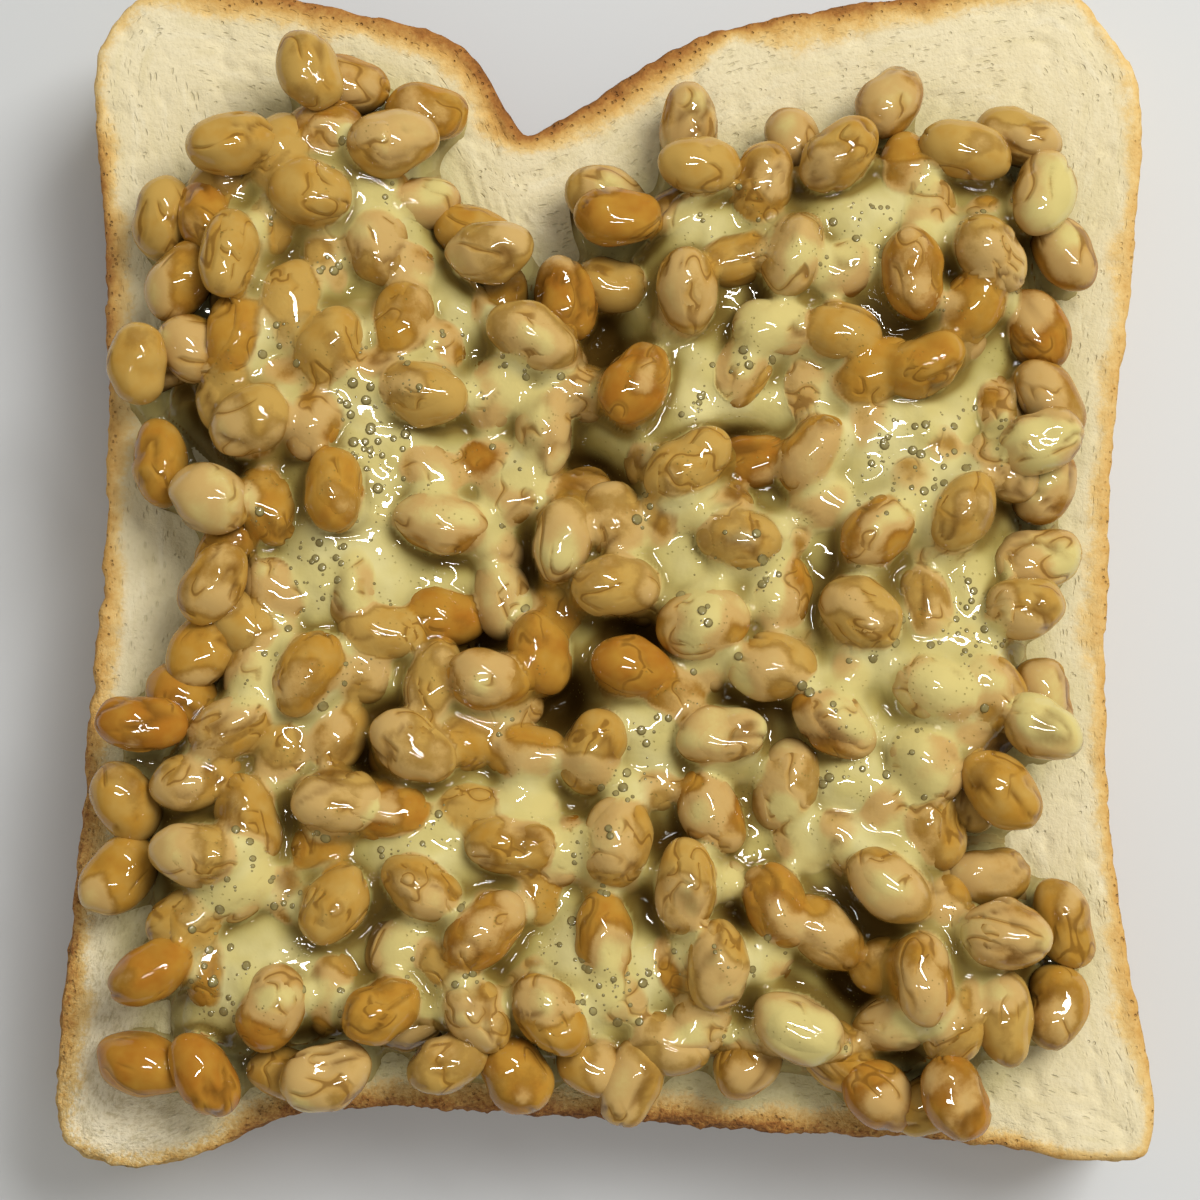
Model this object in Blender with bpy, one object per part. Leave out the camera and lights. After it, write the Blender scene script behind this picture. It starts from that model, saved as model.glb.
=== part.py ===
"""A thick slice of split-top white bread with a heap of sticky soya beans in mayonnaise on it.

Two solids: the slice, and the heap, which is a lumpy bed of sauce with every bean fused on.
Lengths here are millimetres, and MM turns them to Blender's metres. The slice lies flat with its
base at z = 0, its two humps towards +Y, and the origin at the middle of its base.
"""

import math

import bmesh
import bpy
import numpy as np
from mathutils import Euler, Matrix

MM = 0.001

# The slice of bread.
SLICE_THICK = 20.0
CRUST_THICK = 2.2
EDGE_ROUND = 1.1
EDGE_STEPS = 2
SLICE_STEPS = 3
# Its outline runs counter-clockwise from the notch: left hump, waist, base, waist, right hump.
SLICE_OUTLINE = (
    (-9.5, 49), (-15.5, 58), (-21, 61), (-34, 64), (-44, 65.5), (-51.5, 65), (-55, 62.5),
    (-57.5, 57.5), (-57.5, 50), (-56, 32), (-56, 0), (-57.5, -22), (-59, -42), (-60, -56),
    (-59, -63), (-52, -65.5), (-45, -64.5), (-33, -59.5), (-12, -59.5), (21, -62), (36, -62.5),
    (54, -65), (58.5, -64), (59.5, -59), (56.5, -40), (55, -20), (55.5, 5), (59, 37), (60, 51),
    (59, 56.5), (56, 61), (53, 64.5), (47, 65.5), (30, 64), (11, 60), (-2, 52.5), (-7, 49.5),
)

# The bed of sauce that the beans lie in. Heights are above the slice's top face.
REST_GAP = 0.3
SAUCE_STEPS = 2
SAUCE_OUTLINE = (
    (-6, 30), (-13, 35), (-18, 42), (-19, 50), (-26, 53), (-34, 53), (-39, 48), (-46, 42),
    (-47, 31), (-45, 26), (-51, 22), (-51, 15), (-45, 9), (-43, -7), (-50, -17), (-53, -30),
    (-50, -46), (-49, -54), (-36, -56), (-23, -54), (-8, -56), (12, -57), (35, -58), (45, -51),
    (50, -46), (49, -39), (41, -33), (41, -26), (48, -18), (48, 10), (50, 30), (50, 41),
    (44, 48), (29, 49), (14, 46), (4, 43), (-1, 34),
)
SAUCE_LEVEL = 4.6
SAUCE_LEAST = 1.6
RIM_TAPER = 2.2
# Where the sauce has pooled, and the hollows where it has drained away.
POOLS = (
    (29, 36), (10, 38), (10, 16), (32, 12), (-25, 13), (-12, 29), (-30, 0), (10, -2),
    (-19, -32), (-2, -44), (-37, -45), (-23, 42), (3, -19), (42, -6), (26, -22),
)
POOL_RADIUS = 5.5
POOL_DEPTH = 2.4
HOLLOWS = (
    (-24, -20), (-2, 9), (-15, -8), (3, -9), (-6, 0), (-5, -15), (-1, 25), (14, 12),
    (-53, -6), (27, -45), (-43, 14),
)
HOLLOW_RADIUS = 2.6
HOLLOW_DEPTH = 3.2
BED_CELL = 5.0

# One bean: length, width and thickness, and how much each draw may differ from them.
BEAN_SIZE = (9.8, 6.9, 6.3)
BEAN_SPREAD = (0.7, 0.5, 0.4)
BEAN_SEGMENTS = 6
BEAN_RINGS = 4
# A six-sided bean this much wider than the round one is as thick as it on average.
SIDES_SWELL = 1.06
# Beans are laid in two layers. The lower one starts with these at the edge: x, y and heading.
EDGE_BEANS = (
    (-29, 53, -10), (-20, 50, 0), (-42, 42, 20), (-49, 38, 80), (-14, 36, -20), (-49, 22, 5),
    (-49, 11, 95), (-41, 2, 40), (-46, -15, -40), (-52, -26, -60), (-53, -34, 50), (-50, -54, -20),
    (-34, -55, -10), (-2, -53, -58), (35, -58, 25), (48, -48, 85), (49, -39, -70), (47, -15, -78),
    (50, 34, -65), (45, 47, -20), (31, 51, 55), (9, 48, 90), (0, 40, -25),
)
# The upper one starts with these, which stand out of the sauce.
TOP_BEANS = (
    (-41, 33, 85), (-8, 24, -25), (-7, 14, 86), (-5, 2, 80), (1, -3, 5), (-13, -13, -4),
    (14, 2, -4), (12, -19, 8), (11, -27, -62), (-29, -26, 0), (-29, -37, 58), (18, -37, -62),
    (30, -35, -38), (20, -50, -28), (-14, -48, -62), (-24, -48, 32), (42, -40, -8),
    (35, -14, -22), (27, -6, -42), (29, 3, 48), (38, 5, 62), (34, 21, 25), (33, 31, -80),
    (25, 25, -8), (20, 33, 70), (25, 44, 38), (10, 43, 0), (39, 45, -15), (3, 19, 62),
    (-18, 4, -8), (34, -22, -45),
)
LOWER_BEANS = 98
UPPER_BEANS = 84
TRIES = 60
SEED = 20
TILT_SPREAD = 9.0
BEAN_FLOOR = 0.6
# How far apart two beans' middles are when they only touch, and the share of a bean's thickness
# that the upper one climbs where it lies right over the lower one.
REACH = 8.2
CLIMB = 0.78


def closed_curve(points, steps):
    """Points along a smooth closed curve through the given ones.

    Each span is a cubic whose end slopes join its neighbours' points, timed by their distance,
    and has the same number of steps.
    """
    knots = np.array(points, float)
    ahead = np.roll(knots, -1, axis=0)
    behind = np.roll(knots, 1, axis=0)
    span = np.linalg.norm(ahead - knots, axis=1)
    slope = (ahead - behind) / (span + np.roll(span, 1))[:, None]
    t = (np.arange(steps) / steps)[None, :, None]
    start, end = knots[:, None], ahead[:, None]
    rise = (slope * span[:, None])[:, None]
    fall = (np.roll(slope, -1, axis=0) * span[:, None])[:, None]
    curve = (
        (2 * t**3 - 3 * t**2 + 1) * start
        + (t**3 - 2 * t**2 + t) * rise
        + (3 * t**2 - 2 * t**3) * end
        + (t**3 - t**2) * fall
    )
    return curve.reshape(-1, 2)


def centred(curve):
    """The curve moved so that the middle of its bounds is the origin."""
    return curve - (curve.min(axis=0) + curve.max(axis=0)) / 2


def inside(points, outline):
    """True for each point that lies within the closed outline, by counting crossings."""
    x, y = points[:, 0][:, None], points[:, 1][:, None]
    x0, y0 = outline[:, 0], outline[:, 1]
    x1, y1 = np.roll(x0, -1), np.roll(y0, -1)
    crosses = (y0 > y) != (y1 > y)
    with np.errstate(divide="ignore", invalid="ignore"):
        hit = x < (x1 - x0) * (y - y0) / (y1 - y0) + x0
    return (crosses & hit).sum(axis=1) % 2 == 1


def distance_to(points, others):
    """The distance from each point to the nearest of the others."""
    return np.linalg.norm(points[:, None] - np.array(others, float)[None], axis=2).min(axis=1)


def mounds(points, centres, radius):
    """The sum of a round bump of height one at each centre."""
    apart = np.linalg.norm(points[:, None] - np.array(centres, float)[None], axis=2)
    return np.exp(-0.5 * (apart / radius) ** 2).sum(axis=1)


def sauce_height(points, outline):
    """The sauce's height over the slice: a level bed with pools and hollows, thin at its rim."""
    level = SAUCE_LEVEL + POOL_DEPTH * mounds(points, POOLS, POOL_RADIUS)
    level -= HOLLOW_DEPTH * mounds(points, HOLLOWS, HOLLOW_RADIUS)
    within = 1 - np.exp(-distance_to(points, outline) / RIM_TAPER)
    return np.maximum(level * within, SAUCE_LEAST)


def scatter(draw, first, count, outline):
    """The first beans, then more spread evenly in the outline until there are count of them.

    Each new place is the best of a few tries, the one with most room round it.
    """
    beans = list(first)
    low, high = outline.min(axis=0), outline.max(axis=0)
    while len(beans) < count:
        tries = draw.uniform(low, high, (TRIES, 2))
        tries = tries[inside(tries, outline)]
        x, y = tries[distance_to(tries, [bean[:2] for bean in beans]).argmax()]
        beans.append((x, y, draw.uniform(-90, 90)))
    return np.array(beans, float)


def bean_layout(outline):
    """Every bean of the heap: its place, its turn and its size, one row for each.

    A row is x, y, z, heading, tilt and roll in degrees, length, width and thickness. A bean of
    the upper layer is lifted by the nearest one below it, by the arc that it would roll over.
    """
    draw = np.random.default_rng(SEED)
    lower = scatter(draw, EDGE_BEANS, LOWER_BEANS, outline)
    upper = scatter(draw, TOP_BEANS, UPPER_BEANS, outline)
    places = np.vstack([lower, upper])
    count = len(places)
    size = np.array(BEAN_SIZE) + np.array(BEAN_SPREAD) * draw.uniform(-1, 1, (count, 3))
    turn = np.clip(draw.normal(0, TILT_SPREAD, (count, 2)), -2 * TILT_SPREAD, 2 * TILT_SPREAD)
    apart = distance_to(upper[:, :2], lower[:, :2])
    lift = np.zeros(count)
    lift[len(lower):] = CLIMB * BEAN_SIZE[2] * np.sqrt(np.clip(1 - (apart / REACH) ** 2, 0, None))
    tipped = np.abs(np.sin(np.radians(turn[:, 0]))) * size[:, 0] / 4
    middle = BEAN_FLOOR + size[:, 2] / 2 + lift + tipped
    return np.column_stack([places[:, :2], middle, places[:, 2], turn, size])


def simple_material(name, colour, roughness):
    """A plain Principled material."""
    material = bpy.data.materials.new(name)
    material.use_nodes = True
    shader = material.node_tree.nodes["Principled BSDF"]
    shader.inputs["Base Color"].default_value = (*colour, 1)
    shader.inputs["Roughness"].default_value = roughness
    shader.inputs["Metallic"].default_value = 0
    return material


def prism(name, outline, low, high, edge_round, collection):
    """A closed mesh object standing on the outline from low to high, its edges rounded."""
    curve = bpy.data.curves.new(name, "CURVE")
    curve.dimensions = "2D"
    curve.fill_mode = "BOTH"
    curve.extrude = ((high - low) / 2 - edge_round) * MM
    curve.bevel_depth = edge_round * MM
    curve.bevel_resolution = EDGE_STEPS - 1
    curve.offset = -edge_round * MM
    spline = curve.splines.new("POLY")
    spline.points.add(len(outline) - 1)
    flat = np.zeros((len(outline), 4))
    flat[:, :2] = outline * MM
    flat[:, 3] = 1
    spline.points.foreach_set("co", flat.ravel())
    spline.use_cyclic_u = True
    source = bpy.data.objects.new(name + "_curve", curve)
    collection.objects.link(source)
    source.location.z = (low + high) / 2 * MM
    bpy.context.view_layer.update()
    graph = bpy.context.evaluated_depsgraph_get()
    mesh = bpy.data.meshes.new_from_object(source.evaluated_get(graph))
    work = bmesh.new()
    work.from_mesh(mesh)
    bmesh.ops.remove_doubles(work, verts=work.verts, dist=0.01 * MM)
    bmesh.ops.recalc_face_normals(work, faces=work.faces)
    work.to_mesh(mesh)
    work.free()
    made = bpy.data.objects.new(name, mesh)
    made.matrix_world = source.matrix_world
    collection.objects.link(made)
    bpy.data.objects.remove(source)
    return made


def mark_crust(slice_object, crumb, crust):
    """Cuts the crust's ring into both cut faces, and gives it and the wall the crust's colour."""
    mesh = slice_object.data
    mesh.materials.append(crumb)
    mesh.materials.append(crust)
    work = bmesh.new()
    work.from_mesh(mesh)
    flat = [edge for edge in work.edges if edge.calc_face_angle(1.0) < 1e-4]
    bmesh.ops.dissolve_edges(work, edges=flat, use_verts=False)
    cut_faces = [face for face in work.faces if abs(face.normal.z) > 0.999]
    for face in work.faces:
        face.material_index = 1
        face.smooth = abs(face.normal.z) < 0.999
    bmesh.ops.inset_region(work, faces=cut_faces, thickness=(CRUST_THICK - EDGE_ROUND) * MM)
    for face in cut_faces:
        face.material_index = 0
    bmesh.ops.triangulate(work, faces=cut_faces)
    work.to_mesh(mesh)
    work.free()


def sauce_bed(outline, collection, cutters):
    """The heap's core: a block with the sauce's lumpy top, cut to the sauce's outline."""
    low, high = outline.min(axis=0) - BED_CELL, outline.max(axis=0) + BED_CELL
    columns, rows = (int(n) for n in np.ceil((high - low) / BED_CELL))
    floor = SLICE_THICK + REST_GAP
    bpy.ops.mesh.primitive_grid_add(x_subdivisions=columns, y_subdivisions=rows, size=1)
    bed = bpy.context.object
    bed.name = "natto_heap"
    for other in bed.users_collection:
        other.objects.unlink(bed)
    collection.objects.link(bed)
    points = np.empty(len(bed.data.vertices) * 3, np.float32)
    bed.data.vertices.foreach_get("co", points)
    points = points.reshape(-1, 3).astype(float)
    points[:, :2] = (low + high) / 2 + points[:, :2] * (high - low)
    points[:, 2] = SLICE_THICK + sauce_height(points[:, :2], outline)
    bed.data.vertices.foreach_set("co", (points * MM).astype(np.float32).ravel())
    work = bmesh.new()
    work.from_mesh(bed.data)
    sides = bmesh.ops.extrude_face_region(work, geom=list(work.faces))
    for vertex in (part for part in sides["geom"] if isinstance(part, bmesh.types.BMVert)):
        vertex.co.z = (floor - BED_CELL) * MM
    bmesh.ops.recalc_face_normals(work, faces=work.faces)
    work.to_mesh(bed.data)
    work.free()
    cutter = prism("sauce_cutter", outline, floor, floor + SLICE_THICK, 0.0, cutters)
    boolean = bed.modifiers.new("cut to outline", "BOOLEAN")
    boolean.operation = "INTERSECT"
    boolean.object = cutter
    apply_modifiers(bed)
    bpy.data.objects.remove(cutter)
    return bed


def fuse(target, stock):
    """Joins every object of the stock collection to the target, then removes them."""
    boolean = target.modifiers.new("fuse", "BOOLEAN")
    boolean.operation = "UNION"
    boolean.solver = "MANIFOLD"
    boolean.operand_type = "COLLECTION"
    boolean.collection = stock
    apply_modifiers(target)
    for joined in list(stock.objects):
        bpy.data.objects.remove(joined)


def apply_modifiers(target):
    """Makes the modified shape the object's own mesh."""
    graph = bpy.context.evaluated_depsgraph_get()
    mesh = bpy.data.meshes.new_from_object(target.evaluated_get(graph))
    target.modifiers.clear()
    target.data = mesh


def stock_beans(outline, stock):
    """One low-sided bean object for each row of the layout, its long axis along its heading."""
    bpy.ops.mesh.primitive_uv_sphere_add(
        segments=BEAN_SEGMENTS, ring_count=BEAN_RINGS, radius=0.5
    )
    pattern = bpy.context.object
    shape = pattern.data
    bpy.data.objects.remove(pattern)
    shape.transform(Matrix.Rotation(math.pi / 2, 4, "Y"))
    for number, row in enumerate(bean_layout(outline)):
        x, y, z, heading, tilt, roll, length, width, thick = row
        turn = Euler((math.radians(roll), math.radians(tilt), math.radians(heading)), "XYZ")
        swelled = (length * MM, width * SIDES_SWELL * MM, thick * SIDES_SWELL * MM, 1)
        place = Matrix.Translation((x * MM, y * MM, (SLICE_THICK + z) * MM))
        bean = bpy.data.objects.new(f"bean_{number:03d}", shape)
        bean.matrix_world = place @ turn.to_matrix().to_4x4() @ Matrix.Diagonal(swelled)
        stock.objects.link(bean)
    bpy.context.view_layer.update()


def keep_outer_body(heap):
    """Drops loose scraps and sealed hollows: only the surface with the most faces stays."""
    work = bmesh.new()
    work.from_mesh(heap.data)
    left = set(work.faces)
    islands = []
    while left:
        island = {left.pop()}
        newest = set(island)
        while newest:
            around = {face for old in newest for edge in old.edges for face in edge.link_faces}
            newest = around - island
            island |= newest
        left -= island
        islands.append(island)
    islands.sort(key=len)
    scraps = [face for island in islands[:-1] for face in island]
    bmesh.ops.delete(work, geom=scraps, context="FACES")
    work.to_mesh(heap.data)
    work.free()


def new_collection(name):
    """A collection linked under the scene's own."""
    made = bpy.data.collections.new(name)
    bpy.context.scene.collection.children.link(made)
    return made


def main():
    """Clears the scene, then builds the slice and the heap on it."""
    for existing in list(bpy.data.objects):
        bpy.data.objects.remove(existing)
    parts = new_collection("natto_mayo_toast")
    cutters = new_collection("cutters")
    stock = new_collection("beans_to_fuse")

    slice_outline = centred(closed_curve(SLICE_OUTLINE, SLICE_STEPS))
    bread = prism("bread_slice", slice_outline, 0.0, SLICE_THICK, EDGE_ROUND, parts)
    crumb = simple_material("bread_crumb", (0.78, 0.68, 0.42), 0.9)
    crust = simple_material("bread_crust", (0.52, 0.25, 0.07), 0.7)
    mark_crust(bread, crumb, crust)

    sauce_outline = closed_curve(SAUCE_OUTLINE, SAUCE_STEPS)
    heap = sauce_bed(sauce_outline, parts, cutters)
    stock_beans(sauce_outline, stock)
    fuse(heap, stock)
    keep_outer_body(heap)
    heap.data.materials.clear()
    heap.data.materials.append(simple_material("beans_in_sauce", (0.47, 0.33, 0.13), 0.25))


if __name__ == "__main__":
    main()
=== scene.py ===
"""Looks of a natto mayonnaise toast: a thick slice of white bread under beans in yellow-green cream.

Every shape is worked out in millimetres on numpy grids and turned to metres in one place, when its
mesh is made. Heights above the slice's top face are called levels. The slice lies with its base at
z = 0 and its two humps towards +Y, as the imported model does.
"""

import logging
import math
from dataclasses import dataclass, field
from enum import Enum
from typing import Any

import bpy
import numpy as np
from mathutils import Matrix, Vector
from numpy.typing import NDArray


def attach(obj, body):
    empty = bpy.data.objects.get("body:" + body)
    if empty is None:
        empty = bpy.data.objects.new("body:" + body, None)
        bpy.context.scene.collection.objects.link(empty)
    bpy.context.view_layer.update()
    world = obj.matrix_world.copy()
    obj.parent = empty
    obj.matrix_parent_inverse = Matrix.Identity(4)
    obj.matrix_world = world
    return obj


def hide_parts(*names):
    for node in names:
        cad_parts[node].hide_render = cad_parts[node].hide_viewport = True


Array = NDArray[np.float64]
Faces = NDArray[np.int64]
Colour = tuple[float, float, float]
Place = tuple[float, float, float]
Lump = tuple[float, float, int]

log = logging.getLogger("toast")

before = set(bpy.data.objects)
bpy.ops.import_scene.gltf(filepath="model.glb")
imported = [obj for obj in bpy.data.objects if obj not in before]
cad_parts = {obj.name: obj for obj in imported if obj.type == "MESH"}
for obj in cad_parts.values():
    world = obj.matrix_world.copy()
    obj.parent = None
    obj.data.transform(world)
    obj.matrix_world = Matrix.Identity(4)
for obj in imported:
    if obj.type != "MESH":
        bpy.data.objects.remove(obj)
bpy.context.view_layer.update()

MM = 0.001
SLICE_THICK = 20.0
# How many points of the sauce's outline a distance to it is measured to, finely and roughly.
FINE_RIM = 400
ROUGH_RIM = 300
# Large numbers that mix a cube corner's three indices and a seed to a random value.
MIXERS = (73856093, 19349663, 83492791, 2654435761, 1274126177)

# Outlines of the slice and of the sauce on it, counter-clockwise from the notch.
SLICE_OUTLINE = (
    (-9.5, 49), (-15.5, 58), (-21, 61), (-34, 64), (-44, 65.5), (-51.5, 65), (-55, 62.5),
    (-57.5, 57.5), (-57.5, 50), (-56, 32), (-56, 0), (-57.5, -22), (-59, -42), (-60, -56),
    (-59, -63), (-52, -65.5), (-45, -64.5), (-33, -59.5), (-12, -59.5), (21, -62), (36, -62.5),
    (54, -65), (58.5, -64), (59.5, -59), (56.5, -40), (55, -20), (55.5, 5), (59, 37), (60, 51),
    (59, 56.5), (56, 61), (53, 64.5), (47, 65.5), (30, 64), (11, 60), (-2, 52.5), (-7, 49.5),
)
SAUCE_OUTLINE = (
    (-6, 30), (-13, 35), (-18, 42), (-19, 50), (-26, 53), (-34, 53), (-39, 48), (-46, 42),
    (-47, 31), (-45, 26), (-51, 22), (-51, 15), (-45, 9), (-43, -7), (-50, -17), (-53, -30),
    (-50, -46), (-49, -54), (-36, -56), (-23, -54), (-8, -56), (12, -57), (35, -58), (45, -51),
    (50, -46), (49, -39), (41, -33), (41, -26), (48, -18), (48, 10), (50, 30), (50, 41),
    (44, 48), (29, 49), (14, 46), (4, 43), (-1, 34),
)
# Where the sauce has pooled, and the hollows where it has drained away.
POOLS = (
    (29, 36), (10, 38), (10, 16), (32, 12), (-25, 13), (-12, 29), (-30, 0), (10, -2),
    (-19, -32), (-2, -44), (-37, -45), (-23, 42), (3, -19), (42, -6), (26, -22),
)
HOLLOWS = (
    (-24, -20), (-2, 9), (-15, -8), (3, -9), (-6, 0), (-5, -15), (-1, 25), (14, 12),
    (-53, -6), (27, -45), (-43, 14),
)
# Beans at the heap's edge and beans that stand out on top of it: x, y and heading in degrees.
EDGE_BEANS = (
    (-29, 53, -10), (-20, 50, 0), (-42, 42, 20), (-49, 38, 80), (-14, 36, -20), (-49, 22, 5),
    (-49, 11, 95), (-41, 2, 40), (-46, -15, -40), (-52, -26, -60), (-53, -34, 50), (-50, -54, -20),
    (-34, -55, -10), (-2, -53, -58), (35, -58, 25), (48, -48, 85), (49, -39, -70), (47, -15, -78),
    (50, 34, -65), (45, 47, -20), (31, 51, 55), (9, 48, 90), (0, 40, -25),
)
TOP_BEANS = (
    (-41, 33, 85), (-8, 24, -25), (-7, 14, 86), (-5, 2, 80), (1, -3, 5), (-13, -13, -4),
    (14, 2, -4), (12, -19, 8), (11, -27, -62), (-29, -26, 0), (-29, -37, 58), (18, -37, -62),
    (30, -35, -38), (20, -50, -28), (-14, -48, -62), (-24, -48, 32), (42, -40, -8),
    (35, -14, -22), (27, -6, -42), (29, 3, 48), (38, 5, 62), (34, 21, 25), (33, 31, -80),
    (25, 25, -8), (20, 33, 70), (25, 44, 38), (10, 43, 0), (39, 45, -15), (3, 19, 62),
    (-18, 4, -8), (34, -22, -45),
)


def closed_curve(points: tuple[tuple[float, float], ...], steps: int) -> Array:
    """A smooth closed curve through the given points.

    Each span is a cubic: the two points and the two end slopes, each slope the line between its
    neighbours over the time from one to the other, weighted by the four cubic blending curves.

    Args:
        points: the curve's knots in order.
        steps: how many points each span gives.

    Returns:
        The curve's points, one row each.
    """
    knots = np.array(points, float)
    ahead = np.roll(knots, -1, axis=0)
    behind = np.roll(knots, 1, axis=0)
    span = np.linalg.norm(ahead - knots, axis=1)
    slope = (ahead - behind) / (span + np.roll(span, 1))[:, None]
    t = (np.arange(steps) / steps)[None, :, None]
    start, end = knots[:, None], ahead[:, None]
    rise = (slope * span[:, None])[:, None]
    fall = (np.roll(slope, -1, axis=0) * span[:, None])[:, None]
    curve = (
        (2 * t**3 - 3 * t**2 + 1) * start
        + (t**3 - 2 * t**2 + t) * rise
        + (3 * t**2 - 2 * t**3) * end
        + (t**3 - t**2) * fall
    )
    return curve.reshape(-1, 2)


def even_curve(curve: Array, count: int) -> Array:
    """The closed curve with its points the same distance apart along it.

    Args:
        curve: points of a closed curve.
        count: how many points to return.

    Returns:
        The points at equal shares of the curve's length.
    """
    loop = np.vstack([curve, curve[:1]])
    length = np.concatenate([[0.0], np.cumsum(np.linalg.norm(np.diff(loop, axis=0), axis=1))])
    at = np.arange(count) / count * length[-1]
    return np.column_stack([np.interp(at, length, loop[:, i]) for i in (0, 1)])


def inside(points: Array, outline: Array) -> NDArray[np.bool_]:
    """True for each point within the outline: a line to the right crosses it an odd number of times.

    Args:
        points: places in the plane.
        outline: points of a closed curve.

    Returns:
        One truth value for each place.
    """
    x, y = points[:, 0][:, None], points[:, 1][:, None]
    x0, y0 = outline[:, 0], outline[:, 1]
    x1, y1 = np.roll(x0, -1), np.roll(y0, -1)
    crosses = (y0 > y) != (y1 > y)
    with np.errstate(divide="ignore", invalid="ignore"):
        hit = x < (x1 - x0) * (y - y0) / (y1 - y0) + x0
    return (crosses & hit).sum(axis=1) % 2 == 1


def distance_to(points: Array, others: Any) -> Array:
    """The distance from each point to the nearest of the others, in blocks to save memory."""
    others = np.array(others, float)
    blocks = np.array_split(points, max(1, len(points) * len(others) // 4_000_000))
    near = [np.hypot(*(b[:, None] - others[None]).transpose(2, 0, 1)).min(axis=1) for b in blocks]
    return np.concatenate(near)


def mounds(points: Array, centres: Any, radius: float) -> Array:
    """The sum of a round bump at each centre: e to minus half of distance over radius squared."""
    apart = np.linalg.norm(points[:, None] - np.array(centres, float)[None], axis=2)
    return np.exp(-0.5 * (apart / radius) ** 2).sum(axis=1)


def smooth_step(value: Array, low: float, high: float) -> Array:
    """0 below low, 1 above high, and three t squared minus two t cubed between them."""
    t = np.clip((value - low) / (high - low), 0, 1)
    return t * t * (3 - 2 * t)


def soft_max(first: Array, second: Array, width: float) -> Array:
    """The larger of two values, rounded over the width.

    It is half the sum of both and of the root of their gap squared plus the width squared.
    """
    return (first + second + np.sqrt((first - second) ** 2 + width**2)) / 2


def lump_noise(points: Array, cell: float, seed: int) -> Array:
    """Smooth noise from -1 to 1: random values at the corners of cubes, blended by a smooth step.

    Args:
        points: places, with two or three coordinates in the last axis.
        cell: the cubes' side.
        seed: picks the random values.

    Returns:
        One value for each place.
    """
    flat = points.reshape(-1, points.shape[-1])
    if flat.shape[1] == 2:
        flat = np.column_stack([flat, np.zeros(len(flat))])
    above_zero = 1000.0
    scaled = flat / cell + above_zero
    corner = np.floor(scaled).astype(np.int64)
    part = scaled - corner
    part = part * part * (3 - 2 * part)
    total = np.zeros(len(flat))
    for offset in np.ndindex(2, 2, 2):
        at = corner + offset
        mixed = at[:, 0] * MIXERS[0] ^ at[:, 1] * MIXERS[1] ^ at[:, 2] * MIXERS[2] ^ seed * MIXERS[3]
        mixed = (mixed ^ (mixed >> 13)) * MIXERS[4] & 0x7FFFFFFF
        value = ((mixed ^ (mixed >> 15)) & 0xFFFF) / 32767.5 - 1
        total += value * np.where(np.array(offset), part, 1 - part).prod(axis=1)
    return total.reshape(points.shape[:-1])


def layered_noise(points: Array, cell: float, seed: int, layers: int) -> Array:
    """A sum of lump noise, each layer with half the cell and half the height of the one before."""
    return sum(lump_noise(points, cell / 2**n, seed + n) / 2**n for n in range(layers))


def lumps(points: Array, *layers: Lump) -> Array:
    """A sum of lump noise, each layer with a height, a cell and a seed of its own."""
    return sum(height * lump_noise(points, cell, seed) for height, cell, seed in layers)


def grid_faces(rows: int, columns: int, closed: bool = True) -> Faces:
    """Quads between the points of a grid stored row by row.

    Args:
        rows: how many rows of points.
        columns: how many points in a row.
        closed: whether each row's last point joins its first.

    Returns:
        Four point indices for each quad.
    """
    row = np.arange(rows - 1)[:, None]
    column = np.arange(columns if closed else columns - 1)[None, :]
    after = (column + 1) % columns
    corners = (row * columns + column, row * columns + after,
               (row + 1) * columns + after, (row + 1) * columns + column)
    return np.stack(corners, axis=-1).reshape(-1, 4)


def fan_faces(pole: int, ring_start: int, columns: int, outwards: bool) -> Faces:
    """Triangles from a pole to every side of a ring of points.

    Args:
        pole: the pole's index.
        ring_start: the index of the ring's first point.
        columns: how many points the ring has.
        outwards: whether the ring's own order comes after the pole.

    Returns:
        Three point indices for each triangle.
    """
    here = ring_start + np.arange(columns)
    after = ring_start + (np.arange(columns) + 1) % columns
    pair = (here, after) if outwards else (after, here)
    return np.column_stack([np.full(columns, pole), *pair])


def capped_faces(count: int, rings: int, columns: int, poles: tuple[int, int]) -> list[Faces]:
    """Faces of many alike closed shapes, each stored as rings of points and then its two poles.

    Args:
        count: how many shapes.
        rings: how many rings each has.
        columns: how many points a ring has.
        poles: which of a shape's points lies before its first ring, and which after its last.

    Returns:
        Quads between the rings, then triangles at the first pole, then at the last.
    """
    starts = np.arange(count)[:, None, None] * (rings * columns + 2)
    of_one = (
        grid_faces(rings, columns),
        fan_faces(poles[0], 0, columns, False),
        fan_faces(poles[1], (rings - 1) * columns, columns, True),
    )
    return [(group[None] + starts).reshape(-1, group.shape[1]) for group in of_one]


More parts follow.
